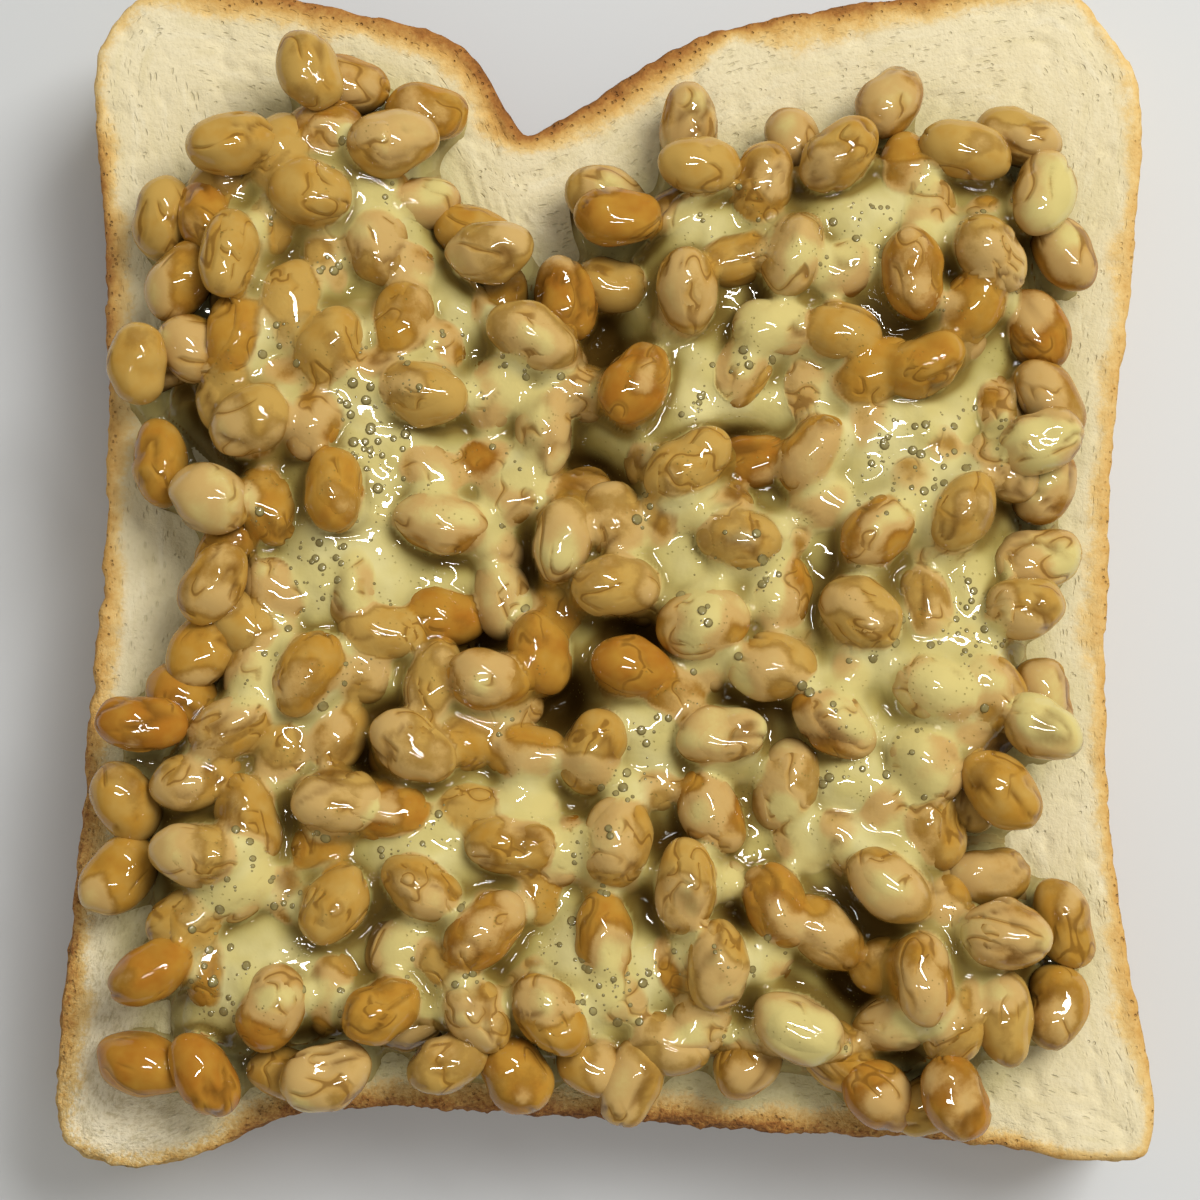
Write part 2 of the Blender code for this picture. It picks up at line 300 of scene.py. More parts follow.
@dataclass
class Shape:
    """A mesh in the making: points in millimetres, faces by their number of corners, and values.

    Attributes:
        points: one row for each point.
        faces: arrays of point indices, each array with one face size.
        values: named values, or rows of three, one for each point, that a finish reads.
        way: places on a flat map, one for each point, for patterns that follow the surface.
        lap: how long that map is once round the shape, where it starts again from nothing.
    """

    points: Array
    faces: list[Faces]
    values: dict[str, Array] = field(default_factory=dict)
    way: Array | None = None
    lap: float = 0.0

    def make(self, name: str, material: bpy.types.Material) -> bpy.types.Object:
        """Writes the shape to a smooth mesh object at the origin.

        Args:
            name: the object's name.
            material: its one material.

        Returns:
            The new object, linked to the scene.
        """
        mesh = bpy.data.meshes.new(name)
        corners = np.concatenate([group.ravel() for group in self.faces])
        sizes = np.concatenate([np.full(len(group), group.shape[1]) for group in self.faces])
        mesh.vertices.add(len(self.points))
        mesh.vertices.foreach_set("co", (self.points * MM).astype(np.float32).ravel())
        mesh.loops.add(len(corners))
        mesh.loops.foreach_set("vertex_index", corners.astype(np.int32))
        mesh.polygons.add(len(sizes))
        mesh.polygons.foreach_set("loop_start", (np.cumsum(sizes) - sizes).astype(np.int32))
        mesh.polygons.foreach_set("use_smooth", np.ones(len(sizes), bool))
        mesh.update(calc_edges=True)
        for value_name, value in self.values.items():
            kind, slot = ("FLOAT", "value") if value.ndim == 1 else ("FLOAT_VECTOR", "vector")
            layer = mesh.attributes.new(value_name, kind, "POINT")
            layer.data.foreach_set(slot, value.astype(np.float32).ravel())
        if self.way is not None:
            uv = mesh.uv_layers.new(name="way")
            uv.uv.foreach_set("vector", self.corner_way().astype(np.float32).ravel())
        mesh.materials.append(material)
        made = bpy.data.objects.new(name, mesh)
        bpy.context.scene.collection.objects.link(made)
        return made

    def corner_way(self) -> Array:
        """The flat map for every face corner, one lap further on past the place where it restarts."""
        groups = []
        for group in self.faces:
            corner = self.way[group].copy()
            behind = corner[..., 0] < corner[..., 0].max(axis=1, keepdims=True) - self.lap / 2
            corner[..., 0] += self.lap * behind
            groups.append(corner.reshape(-1, 2))
        return np.vstack(groups)


class Graph:
    """A material's node tree, with a short method for each kind of node that the finishes use."""

    def __init__(self, name: str) -> None:
        """Starts an empty tree with a Principled shader joined to its output."""
        self.material = bpy.data.materials.new(name)
        self.material.use_nodes = True
        self.tree = self.material.node_tree
        self.shader = self.tree.nodes["Principled BSDF"]

    def add(self, kind: str, inputs: dict[Any, Any], output: Any = 0, **settings: Any) -> Any:
        """Adds a node.

        Args:
            kind: the node's type name.
            inputs: socket names or numbers, each with a value or a socket to join.
            output: which output to return.
            **settings: properties of the node itself.

        Returns:
            The chosen output socket.
        """
        node = self.tree.nodes.new(kind)
        for name, value in settings.items():
            setattr(node, name, value)
        for key, value in inputs.items():
            self.put(node.inputs[key], value)
        return node.outputs[output]

    def put(self, socket: Any, value: Any) -> None:
        """Joins a socket to another, or sets its value."""
        if isinstance(value, bpy.types.NodeSocket):
            self.tree.links.new(value, socket)
        elif isinstance(value, tuple) and len(value) == 3 and socket.type == "RGBA":
            socket.default_value = (*value, 1.0)
        else:
            socket.default_value = value

    def finish(self, **inputs: Any) -> bpy.types.Material:
        """Sets the shader's sockets, named with underscores for spaces, and returns the material."""
        for name, value in inputs.items():
            self.put(self.shader.inputs[name.replace("_", " ")], value)
        return self.material

    def place(self) -> Any:
        """The object's own coordinates."""
        return self.add("ShaderNodeTexCoord", {}, "Object")

    def way(self, along: float = 1.0, across: float = 1.0) -> Any:
        """The piece's flat map, stretched along and across."""
        raw = self.add("ShaderNodeUVMap", {}, uv_map="way")
        return self.add("ShaderNodeMapping", {"Vector": raw, "Scale": (along, across, 1.0)})

    def value(self, name: str) -> Any:
        """A named value of the piece."""
        return self.add("ShaderNodeAttribute", {}, "Fac", attribute_name=name)

    def place_of(self, name: str) -> Any:
        """A named place that each point of the piece carries."""
        return self.add("ShaderNodeAttribute", {}, "Vector", attribute_name=name)

    def noise(self, at: Any, cell: float, detail: float = 2.0, rough: float = 0.5) -> Any:
        """Cloudy noise from 0 to 1 with lumps about one cell, in millimetres, wide."""
        inputs = {"Vector": at, "Scale": 1 / (cell * MM), "Detail": detail, "Roughness": rough}
        return self.add("ShaderNodeTexNoise", inputs)

    def cells(self, at: Any, cell: float) -> Any:
        """Distance to the middle of the nearest of many scattered cells, each one cell wide."""
        return self.add("ShaderNodeTexVoronoi", {"Vector": at, "Scale": 1 / (cell * MM)}, "Distance")

    def sums(self, operation: str, first: Any, second: Any = 0.0, third: Any = 0.0) -> Any:
        """One step of arithmetic."""
        return self.add("ShaderNodeMath", {0: first, 1: second, 2: third}, operation=operation)

    def plus(self, first: Any, second: Any) -> Any:
        """The first value plus the second."""
        return self.sums("ADD", first, second)

    def minus(self, first: Any, second: Any) -> Any:
        """The first value less the second."""
        return self.sums("SUBTRACT", first, second)

    def times(self, first: Any, second: Any) -> Any:
        """The first value times the second."""
        return self.sums("MULTIPLY", first, second)

    def scaled(self, value: Any, factor: Any, more: Any) -> Any:
        """The value times the factor, plus more."""
        return self.sums("MULTIPLY_ADD", value, factor, more)

    def larger(self, first: Any, second: Any) -> Any:
        """The larger of the two values."""
        return self.sums("MAXIMUM", first, second)

    def remap(self, value: Any, low: float, high: float, start: float = 0.0, end: float = 1.0) -> Any:
        """A smooth step from start, where the value is low, to end, where it is high."""
        inputs = {"Value": value, "From Min": low, "From Max": high, "To Min": start, "To Max": end}
        return self.add("ShaderNodeMapRange", inputs, interpolation_type="SMOOTHSTEP")

    def blend(self, share: Any, first: Any, second: Any, mode: str = "MIX") -> Any:
        """A share of the way from the first colour to the second."""
        node = self.tree.nodes.new("ShaderNodeMix")
        node.data_type = "RGBA"
        node.blend_type = mode
        for index, value in ((0, share), (6, first), (7, second)):
            self.put(node.inputs[index], value)
        return node.outputs[2]

    def ramp(self, value: Any, *stops: tuple[float, Colour]) -> Any:
        """Colours by value, blended between the stops."""
        node = self.tree.nodes.new("ShaderNodeValToRGB")
        self.tree.links.new(value, node.inputs[0])
        elements = node.color_ramp.elements
        while len(elements) < len(stops):
            elements.new(1.0)
        for element, (position, colour) in zip(elements, stops):
            element.position = position
            element.color = (*colour, 1.0)
        return node.outputs[0]

    def bump(self, height: Any, depth: float) -> Any:
        """The surface's normal as if it rose by height times the depth in millimetres."""
        return self.add("ShaderNodeBump", {"Height": height, "Distance": depth * MM, "Strength": 1.0})

    def wet(self, colour: Any, relief: Any, sunken: Any) -> bpy.types.Material:
        """Finishes a wet surface: a matt body under a clear coat that fades where it is sunken.

        Args:
            colour: the body's colour.
            relief: the height that its bump reads.
            sunken: how deep down it lies, from 0 to 1.

        Returns:
            The material.
        """
        return self.finish(
            Base_Color=colour, Normal=self.bump(relief, 0.18), Roughness=0.6, Specular_IOR_Level=0.0,
            Coat_Weight=self.remap(sunken, 0.5, 1.0, 1.0, 0.15), Coat_Roughness=0.03, Coat_IOR=1.5,
        )


@dataclass(frozen=True)
class BreadFinish:
    """Open white crumb, with painted shade in its pores, that turns to golden and brown crust where it
    is baked.

    It reads bake (0 crumb, 1 darkest crust), damp (soaked by the sauce), frayed (torn, fluffy),
    crumbly (broken into grains) and edge (1 at the edge, falling inwards).
    """

    crumb: Colour = (0.78, 0.70, 0.475)
    crumb_dull: Colour = (0.75, 0.665, 0.435)
    crumb_light: Colour = (0.83, 0.77, 0.57)
    stain: Colour = (0.64, 0.55, 0.28)
    # Painted shade: the dark of the pores, also used for the crumb's fine grain.
    grain_and_pore_shade: Colour = (0.58, 0.50, 0.27)
    frayed_light: Colour = (0.90, 0.82, 0.61)
    frayed_dark: Colour = (0.64, 0.55, 0.34)
    damp_tint: Colour = (0.80, 0.79, 0.55)
    straw: Colour = (0.74, 0.53, 0.215)
    golden: Colour = (0.60, 0.35, 0.095)
    brown: Colour = (0.36, 0.15, 0.030)
    dark: Colour = (0.17, 0.060, 0.012)

    def holes(self, g: Graph, place: Any) -> Any:
        """Where the crumb is open.

        It has pores, which follow the slice's edge where they are near it, pinholes and slits.

        Args:
            g: the material's tree.
            place: the object's coordinates.

        Returns:
            A socket with 1 in a hole and 0 outside.
        """
        along = g.noise(g.way(1.0, 2.8), 1.7, 2.0, 0.6)
        across = g.noise(place, 1.1, 2.0, 0.6)
        streak = g.scaled(g.minus(along, across), g.value("edge"), across)
        pores = g.remap(streak, 0.57, 0.80)
        pin = g.remap(g.cells(place, 1.1), 0.20, 0.10)
        pin = g.times(pin, g.remap(g.noise(place, 5.0), 0.48, 0.62))
        slit = g.remap(g.cells(g.way(0.55, 1.5), 1.0), 0.30, 0.12)
        slit = g.times(slit, g.remap(g.noise(place, 3.4, 2.0), 0.44, 0.60))
        return g.larger(g.larger(pores, pin), slit)

    def baked(self, g: Graph, place: Any, speck: Any) -> Any:
        """How baked the surface looks: its bake, made patchy, and grainy where it is crumbly.

        Args:
            g: the material's tree.
            place: the object's coordinates.
            speck: the grain's height, about zero.

        Returns:
            A socket with 0 on crumb and 1 on the darkest crust.
        """
        bake = g.value("bake")
        patch = g.scaled(g.noise(place, 2.2, 4.0, 0.6), 0.50, -0.25)
        grainy = g.scaled(g.value("crumbly"), 2.2, 1.0)
        uneven = g.scaled(speck, grainy, patch)
        return g.scaled(uneven, g.remap(bake, 0.03, 0.25), bake)

    def build(self) -> bpy.types.Material:
        """Returns the bread's material."""
        g = Graph("bread_crumb_and_crust")
        place = g.place()
        damp, frayed, crumbly = g.value("damp"), g.value("frayed"), g.value("crumbly")
        cloud = g.noise(place, 9.0, 3.0)
        grain = g.noise(place, 0.5, 2.0, 0.65)
        holes = self.holes(g, place)
        crumb = g.blend(g.remap(cloud, 0.35, 0.65), self.crumb, self.crumb_dull)
        crumb = g.blend(g.remap(grain, 0.35, 0.75, 0.0, 0.18), crumb, self.grain_and_pore_shade)
        brushed = g.noise(g.way(0.40, 1.5), 2.6, 3.0, 0.6)
        crumb = g.blend(g.remap(brushed, 0.50, 0.76, 0.0, 0.34), crumb, self.stain)
        crumb = g.blend(g.remap(brushed, 0.47, 0.26, 0.0, 0.55), crumb, self.crumb_light)
        # Painted shade in the pores: open holes are drawn darker.
        crumb = g.blend(g.times(holes, 0.40), crumb, self.grain_and_pore_shade)
        hair = g.noise(g.way(0.75, 1.3), 0.55, 3.0, 0.75)
        clump = g.noise(place, 1.5, 4.0, 0.7)
        fibre = g.scaled(hair, 0.55, g.times(clump, 0.45))
        fluff = g.blend(g.remap(fibre, 0.37, 0.56), self.frayed_dark, self.frayed_light)
        crumb = g.blend(frayed, crumb, fluff)
        soaked = g.blend(damp, (1.0, 1.0, 1.0), self.damp_tint)
        crumb = g.blend(1.0, crumb, soaked, "MULTIPLY")
        speck = g.scaled(g.noise(place, 0.5, 3.0, 0.7), 0.30, -0.15)
        baked = self.baked(g, place, speck)
        tint = g.ramp(baked, (0.0, self.straw), (0.30, self.straw), (0.55, self.golden),
                      (0.80, self.brown), (1.0, self.dark))
        colour = g.blend(g.remap(baked, 0.06, 0.34), crumb, tint)
        pits = g.remap(g.cells(place, 0.75), 0.28, 0.08)
        pits = g.times(pits, g.remap(baked, 0.35, 0.6))
        colour = g.blend(g.times(pits, 0.5), colour, self.brown)
        relief = g.scaled(holes, -0.32, g.times(grain, 0.34))
        relief = g.scaled(brushed, -0.20, relief)
        relief = g.scaled(pits, -0.8, relief)
        relief = g.scaled(g.times(speck, crumbly), 3.5, relief)
        relief = g.scaled(g.times(fibre, frayed), 1.7, relief)
        normal = g.bump(relief, 0.35)
        rough = g.remap(damp, 0.2, 1.0, 0.88, 0.55)
        return g.finish(Base_Color=colour, Normal=normal, Roughness=rough, Specular_IOR_Level=0.3)


@dataclass(frozen=True)
class BeanFinish:
    """Wet ochre bean skin under a patchy film of cream, with painted shade in creases, wrinkles and
    where the film ends.

    It reads film (0 bare, 1 thick cream), crease, tone (0 pale to 1 reddish), shade (painted shade where
    it lies deep down) and own (a place within the bean, drawn out along it).
    """

    pale: Colour = (0.50, 0.316, 0.078)
    ochre: Colour = (0.455, 0.238, 0.033)
    reddish: Colour = (0.385, 0.156, 0.017)
    # Painted shade: the dark brown of creases, wrinkle lines and the film's edge.
    line: Colour = (0.150, 0.062, 0.008)
    thin_film: Colour = (0.57, 0.385, 0.145)
    thick_film: Colour = (0.63, 0.535, 0.205)
    # Painted shade: the near-black brown of beans deep down between others.
    deep: Colour = (0.045, 0.022, 0.004)

    def skin(self, g: Graph, grain: Any) -> tuple[Any, Any]:
        """Adds the colour of skin under its film, and its relief, from the piece's own values.

        Args:
            g: the material's tree.
            grain: coordinates for the wrinkles.

        Returns:
            The colour's and the relief's sockets.
        """
        place = g.place()
        film, tone, crease = g.value("film"), g.value("tone"), g.value("crease")
        mottle = g.noise(place, 2.6, 2.0)
        fine = g.noise(place, 0.8, 3.0, 0.6)
        toned = g.plus(tone, g.scaled(mottle, 1.1, -0.55))
        colour = g.ramp(toned, (0.05, self.pale), (0.50, self.ochre), (0.95, self.reddish))
        spread = g.plus(film, g.scaled(fine, 0.20, -0.10))
        thin = g.remap(spread, 0.26, 0.54)
        thick = g.remap(spread, 0.60, 1.00)
        # A dark band where the film ends: partly painted shade, partly the film's translucent edge.
        shore = g.times(g.remap(spread, 0.14, 0.30), g.remap(spread, 0.48, 0.34))
        colour = g.blend(g.times(shore, 0.40), colour, self.line)
        colour = g.blend(g.times(thin, 0.85), colour, self.thin_film)
        colour = g.blend(thick, colour, self.thick_film)
        # Wrinkle lines are drawn dark: painted shade in their folds.
        thread = g.sums("ABSOLUTE", g.minus(g.noise(grain, 2.7, 0.6, 0.3), 0.5))
        allowed = g.remap(g.noise(place, 4.8, 0.0), 0.51, 0.60)
        allowed = g.times(allowed, g.remap(spread, 1.05, 0.80))
        breadth = g.scaled(fine, 0.030, 0.004)
        line = g.times(g.remap(g.minus(thread, breadth), 0.010, -0.012), allowed)
        halo = g.times(g.remap(thread, 0.10, 0.010), allowed)
        colour = g.blend(g.times(halo, 0.50), colour, self.ochre)
        # Painted shade in the creases.
        creased = g.times(crease, g.remap(spread, 1.3, 0.8, 0.0, 0.75))
        dark = g.larger(g.times(line, 0.60), creased)
        colour = g.blend(dark, colour, self.line)
        relief = g.scaled(halo, -0.7, g.times(thin, 0.3))
        return colour, g.scaled(fine, 0.06, relief)

    def build(self) -> bpy.types.Material:
        """Returns the beans' material."""
        g = Graph("bean_skin_under_cream")
        shade = g.value("shade")
        colour, relief = self.skin(g, g.place_of("own"))
        # Painted shade: beans turn near black where they lie deep under what is round them.
        colour = g.blend(g.times(shade, 0.96), colour, self.deep)
        return g.wet(colour, relief, shade)


@dataclass(frozen=True)
class SauceFinish:
    """Mayonnaise let down with bean slime: pale yellow-green cream, with painted shade, olive to near
    black, where it lies deep.

    It reads cover (millimetres of sauce over a bean), depth (millimetres below what is round it),
    crevice (the same for what is close by), layer (millimetres of sauce over the bread), within (0
    at the heap's rim to 1 further in), and the film, tone and crease of the skin that shows where
    the cover is thin.
    """

    bean: BeanFinish
    cream: Colour = (0.585, 0.505, 0.190)
    pale: Colour = (0.67, 0.605, 0.285)
    # Painted shade: the olive of low places; also the tint of the small bubble dots.
    olive: Colour = (0.36, 0.300, 0.070)
    # Painted shade: the dark brown of crevices close to beans.
    shaded: Colour = (0.20, 0.125, 0.022)
    # Painted shade: the near-black brown of the hollows.
    deep: Colour = (0.075, 0.040, 0.007)
    soaked: Colour = (0.50, 0.42, 0.17)

    def build(self) -> bpy.types.Material:
        """Returns the sauce's material."""
        g = Graph("mayonnaise_and_bean_slime")
        place = g.place()
        cover, depth, layer = g.value("cover"), g.value("depth"), g.value("layer")
        skin, skin_relief = self.bean.skin(g, place)
        swirl = g.noise(place, 6.0, 2.0, 0.55)
        fine = g.noise(place, 1.3, 2.0, 0.55)
        colour = g.blend(g.remap(swirl, 0.35, 0.68), self.cream, self.pale)
        # Painted shade: low places by the beans turn olive, less so near the rim.
        low = g.scaled(swirl, 2.0, depth)
        inner = g.remap(g.value("within"), 0.0, 1.0, 0.30, 1.0)
        low = g.times(g.remap(low, 1.3, 2.8, 0.0, 0.75), inner)
        colour = g.blend(low, colour, self.olive)
        thick = g.remap(g.scaled(fine, 0.3, cover), 0.45, 1.15)
        colour = g.blend(thick, skin, colour)
        colour = g.blend(g.remap(layer, 1.6, 0.2, 0.0, 0.8), colour, self.soaked)
        # Painted shade: crevices round the beans' feet darken.
        crevice_shade = g.times(g.remap(g.value("crevice"), 0.15, 1.0, 0.0, 0.80), inner)
        colour = g.blend(crevice_shade, colour, self.shaded)
        # Painted shade: the hollows between beans turn near black.
        sunken = g.times(g.remap(depth, 1.3, 3.4), inner)
        colour = g.blend(sunken, colour, self.deep)
        dots = g.remap(g.cells(place, 0.62), 0.20, 0.12)
        dots = g.times(dots, g.remap(g.noise(place, 3.5, 0.0), 0.50, 0.60))
        colour = g.blend(g.times(dots, 0.45), colour, self.olive)
        relief = g.scaled(dots, -0.5, g.times(fine, 0.5))
        relief = g.scaled(g.minus(1.0, thick), skin_relief, relief)
        return g.wet(colour, relief, sunken)


@dataclass(frozen=True)
class BubbleFinish:
    """A film of sauce over air: dark at the rim, clearer in the middle. It reads rim (0 to 1)."""

    middle: Colour = (0.44, 0.385, 0.165)
    edge: Colour = (0.17, 0.135, 0.045)

    def build(self) -> bpy.types.Material:
        """Returns the bubbles' material."""
        g = Graph("air_bubble_in_sauce")
        tone = g.noise(g.place(), 1.1, 1.0)
        rim = g.remap(g.value("rim"), 0.35, 0.85)
        colour = g.blend(rim, g.blend(tone, self.middle, self.edge), self.edge)
        return g.finish(Base_Color=colour, Roughness=0.12, Coat_Weight=1.0, Coat_Roughness=0.03)


@dataclass(frozen=True)
class FloorFinish:
    """Plain pale glazed floor with faint darker clouds."""

    colour: Colour = (0.58, 0.61, 0.64)
    cloud: Colour = (0.55, 0.58, 0.61)

    def build(self) -> bpy.types.Material:
        """Returns the floor's material."""
        g = Graph("pale_floor")
        tone = g.noise(g.place(), 90.0, 2.0)
        colour = g.blend(g.remap(tone, 0.3, 0.7, 0.0, 0.15), self.colour, self.cloud)
        return g.finish(Base_Color=colour, Roughness=0.45)


@dataclass
class HeapLayout:
    """Where every bean lies: two layers, listed beans first and the rest spread evenly.

    Attributes:
        bean_size: a bean's length, width and thickness.
        bean_spread: how far each of them may be off.
        lower_count: beans in the lower layer.
        upper_count: beans in the upper layer.
        tucked_count: beans sunk in the gaps between those two layers.
        tries: places tried for each new bean.
        seed: picks the layout.
        tilt_spread: how far a bean tips, in degrees.
        bean_floor: the level of the lowest bean's underside.
        reach: how far apart two beans' middles are when they only touch.
        climb: the share of a bean's thickness that the upper of two beans climbs.
        tuck_lift: how much higher a tucked bean lies than one of the lower layer, least and most.
        deepest_dent: the most that a bean's flank is dented.
        reddest: the most that a bean's tone reaches, from 0 to 1.
        tone_skew: how much pale beans outnumber reddish ones.
        most_film: the most film that a bean carries.
        film_slope_for_bare_and_shaded_left: how much more film a bean carries for each millimetre to the
            right, leaving the left barer and darker, partly painted shade.
        outline: the sauce's outline.
        rows: each bean's x, y, level, heading, tilt, roll, length, width and thickness.
        dents: each bean's dent.
        tones: each bean's tone.
        films: each bean's film.
    """

    bean_size: tuple[float, float, float] = (9.8, 6.9, 6.3)
    bean_spread: tuple[float, float, float] = (0.7, 0.5, 0.4)
    lower_count: int = 98
    upper_count: int = 84
    tucked_count: int = 74
    tries: int = 60
    seed: int = 20
    tilt_spread: float = 9.0
    bean_floor: float = 0.6
    reach: float = 8.2
    climb: float = 0.78
    tuck_lift: tuple[float, float] = (0.8, 2.9)
    deepest_dent: float = 0.6
    reddest: float = 0.85
    tone_skew: float = 1.4
    most_film: float = 0.70
    film_slope_for_bare_and_shaded_left: float = 0.0026
    outline: Array = field(init=False)
    rows: Array = field(init=False)
    dents: Array = field(init=False)
    tones: Array = field(init=False)
    films: Array = field(init=False)

    def __post_init__(self) -> None:
        """Lays the beans out, and gives each its dent, its skin's tone and its share of film."""
        self.outline = closed_curve(SAUCE_OUTLINE, 2)
        placed = self.lay()
        self.rows = np.vstack([placed, self.tuck(placed)])
        draw = np.random.default_rng(self.seed + 2)
        count = len(self.rows)
        self.dents = draw.uniform(0, self.deepest_dent, count)
        self.tones = self.reddest * draw.uniform(0, 1, count) ** self.tone_skew
        # More film to the right, less to the left: the left is barer and darker, partly painted shade.
        self.films = draw.uniform(0, self.most_film, count) + self.film_slope_for_bare_and_shaded_left * self.rows[:, 0]

    def scatter(self, draw: np.random.Generator, first: Any, count: int) -> Array:
        """Adds beans to the first ones until there are count of them.

        Each new place is the one of a few random ones that has most room round it.

        Args:
            draw: the random source.
            first: beans that have a place already.
            count: how many there are to be.

        Returns:
            x, y and heading of each bean.
        """
        beans = list(first)
        low, high = self.outline.min(axis=0), self.outline.max(axis=0)
        while len(beans) < count:
            tries = draw.uniform(low, high, (self.tries, 2))
            tries = tries[inside(tries, self.outline)]
            x, y = tries[distance_to(tries, [bean[:2] for bean in beans]).argmax()]
            beans.append((x, y, draw.uniform(-90, 90)))
        return np.array(beans, float)

    def lay(self) -> Array:
        """Works out every bean's place, turn and size.

        A bean of the upper layer is lifted by the nearest one below it, by the climb times its
        thickness times the root of one minus the square of their distance over the reach.

        Returns:
            Rows of x, y, level, heading, tilt and roll in degrees, length, width and thickness.
        """
        draw = np.random.default_rng(self.seed)
        lower = self.scatter(draw, EDGE_BEANS, self.lower_count)
        upper = self.scatter(draw, TOP_BEANS, self.upper_count)
        places = np.vstack([lower, upper])
        count = len(places)
        spread = np.array(self.bean_spread) * draw.uniform(-1, 1, (count, 3))
        size = np.array(self.bean_size) + spread
        most = 2 * self.tilt_spread
        turn = np.clip(draw.normal(0, self.tilt_spread, (count, 2)), -most, most)
        apart = distance_to(upper[:, :2], lower[:, :2])
        arc = np.sqrt(np.clip(1 - (apart / self.reach) ** 2, 0, None))
        lift = np.zeros(count)
        lift[len(lower):] = self.climb * self.bean_size[2] * arc
        tipped = np.abs(np.sin(np.radians(turn[:, 0]))) * size[:, 0] / 4
        middle = self.bean_floor + size[:, 2] / 2 + lift + tipped
        return np.column_stack([places[:, :2], middle, places[:, 2], turn, size])

    def tuck(self, placed: Array) -> Array:
        """Beans for the gaps that the two layers leave, most of them sunk in the sauce.

        Args:
            placed: the rows of the two layers.

        Returns:
            Rows like those, a little higher than the lower layer's.
        """
        draw = np.random.default_rng(self.seed + 1)
        kept_open = np.array(HOLLOWS + POOLS[::2], float)
        kept_open = np.column_stack([kept_open, np.zeros(len(kept_open))])
        taken = np.vstack([placed[:, [0, 1, 3]], kept_open])
        count = self.tucked_count
        places = self.scatter(draw, taken, len(taken) + count)[len(taken):]
        spread = np.array(self.bean_spread) * draw.uniform(-1, 1, (count, 3))
        size = np.array(self.bean_size) + spread
        turn = draw.normal(0, self.tilt_spread, (count, 2))
        middle = self.bean_floor + size[:, 2] / 2 + draw.uniform(*self.tuck_lift, count)
        return np.column_stack([places[:, :2], middle, places[:, 2], turn, size])

    def turns(self) -> Array:
        """A turning matrix for each bean: about its length, then its width, then upright."""
        heading, tilt, roll = np.radians(self.rows[:, 3:6]).T
        one, nil = np.ones(len(heading)), np.zeros(len(heading))
        c, s = np.cos(heading), np.sin(heading)
        about_z = np.array([[c, -s, nil], [s, c, nil], [nil, nil, one]])
        c, s = np.cos(tilt), np.sin(tilt)
        about_y = np.array([[c, nil, s], [nil, one, nil], [-s, nil, c]])
        c, s = np.cos(roll), np.sin(roll)
        about_x = np.array([[one, nil, nil], [nil, c, -s], [nil, s, c]])
        return np.einsum("ijn,jkn,kln->nil", about_z, about_y, about_x)


@dataclass(frozen=True)
class BeanRelief:
    """How a bean's skin departs from a plain egg shape, and where cream clings to it.

    Attributes:
        lump: the height of its broad lumps.
        broad: the layers of noise that they follow.
        crease: the depth of its creases.
        crease_width: how wide they are, as a height of the noise that they follow.
        grain: how much they are drawn out along it, as a share of their pitch across.
        apart: how far apart in the noise two beans of the heap lie.
        dent_middle: how far along it the dent in its flank is.
        dent_width: how wide that dent is.
        patches: the layers of noise that thick and thin film follow.
        flank_shade: how much less film an upright skin carries, so that steep flanks look darker than
            tops: painted shade.
    """

    lump: float = 0.42
    broad: tuple[Lump, ...] = ((1.0, 3.8, 1), (0.45, 1.9, 2))
    crease: float = 0.34
    crease_width: float = 0.10
    grain: float = 0.42
    apart: float = 40.0
    dent_middle: float = 1.0
    dent_width: float = 1.8
    patches: tuple[Lump, ...] = ((0.55, 4.6, 54), (0.22, 2.2, 55))
    flank_shade: float = 0.42

    def drawn_out(self, own: Array, number: Array) -> Array:
        """A place within a bean, squeezed along it and moved off to that bean's own part of space."""
        return own * [self.grain, 1, 1] + number[..., None] * self.apart

    def push(self, own: Array, number: Array, dent: Array) -> tuple[Array, Array]:
        """How far the skin is pushed out along the ray from the bean's middle.

        Two sizes of lumps, less creases and a dent in one flank. A crease is where a smooth noise
        crosses zero, if a second noise allows one there.

        Args:
            own: places on the plain bean, in its own frame.
            number: which bean of the heap each place is on.
            dent: how deep the dent in one flank is.

        Returns:
            The push, and a value of 1 in a crease and 0 outside.
        """
        at = own + number[..., None] * self.apart
        drawn_out = self.drawn_out(own, number)
        crossing = lump_noise(drawn_out + 300, 2.6, 5) + 0.25 * lump_noise(drawn_out, 1.3, 6)
        allowed = smooth_step(lump_noise(at, 4.5, 7), 0.0, 0.4)
        groove = np.exp(-((crossing / self.crease_width) ** 2)) * allowed
        flank = np.exp(-(((own[..., 0] - self.dent_middle) / self.dent_width) ** 2)) * (own[..., 1] > 0)
        return self.lump * lumps(at, *self.broad) - self.crease * groove - dent * flank, groove

    def flank_shade_loss(self, upright: Array) -> Array:
        """How much less film a steep skin shows, from the rise of its normal: painted shade that darkens
        the flanks.
        """
        return self.flank_shade * (1 - np.clip(upright, 0, 1)) ** 1.3

    def film_patches(self, world: Array) -> Array:
        """Where the film is thicker and thinner than a bean's mean, by two sizes of noise."""
        return lumps(world, *self.patches)


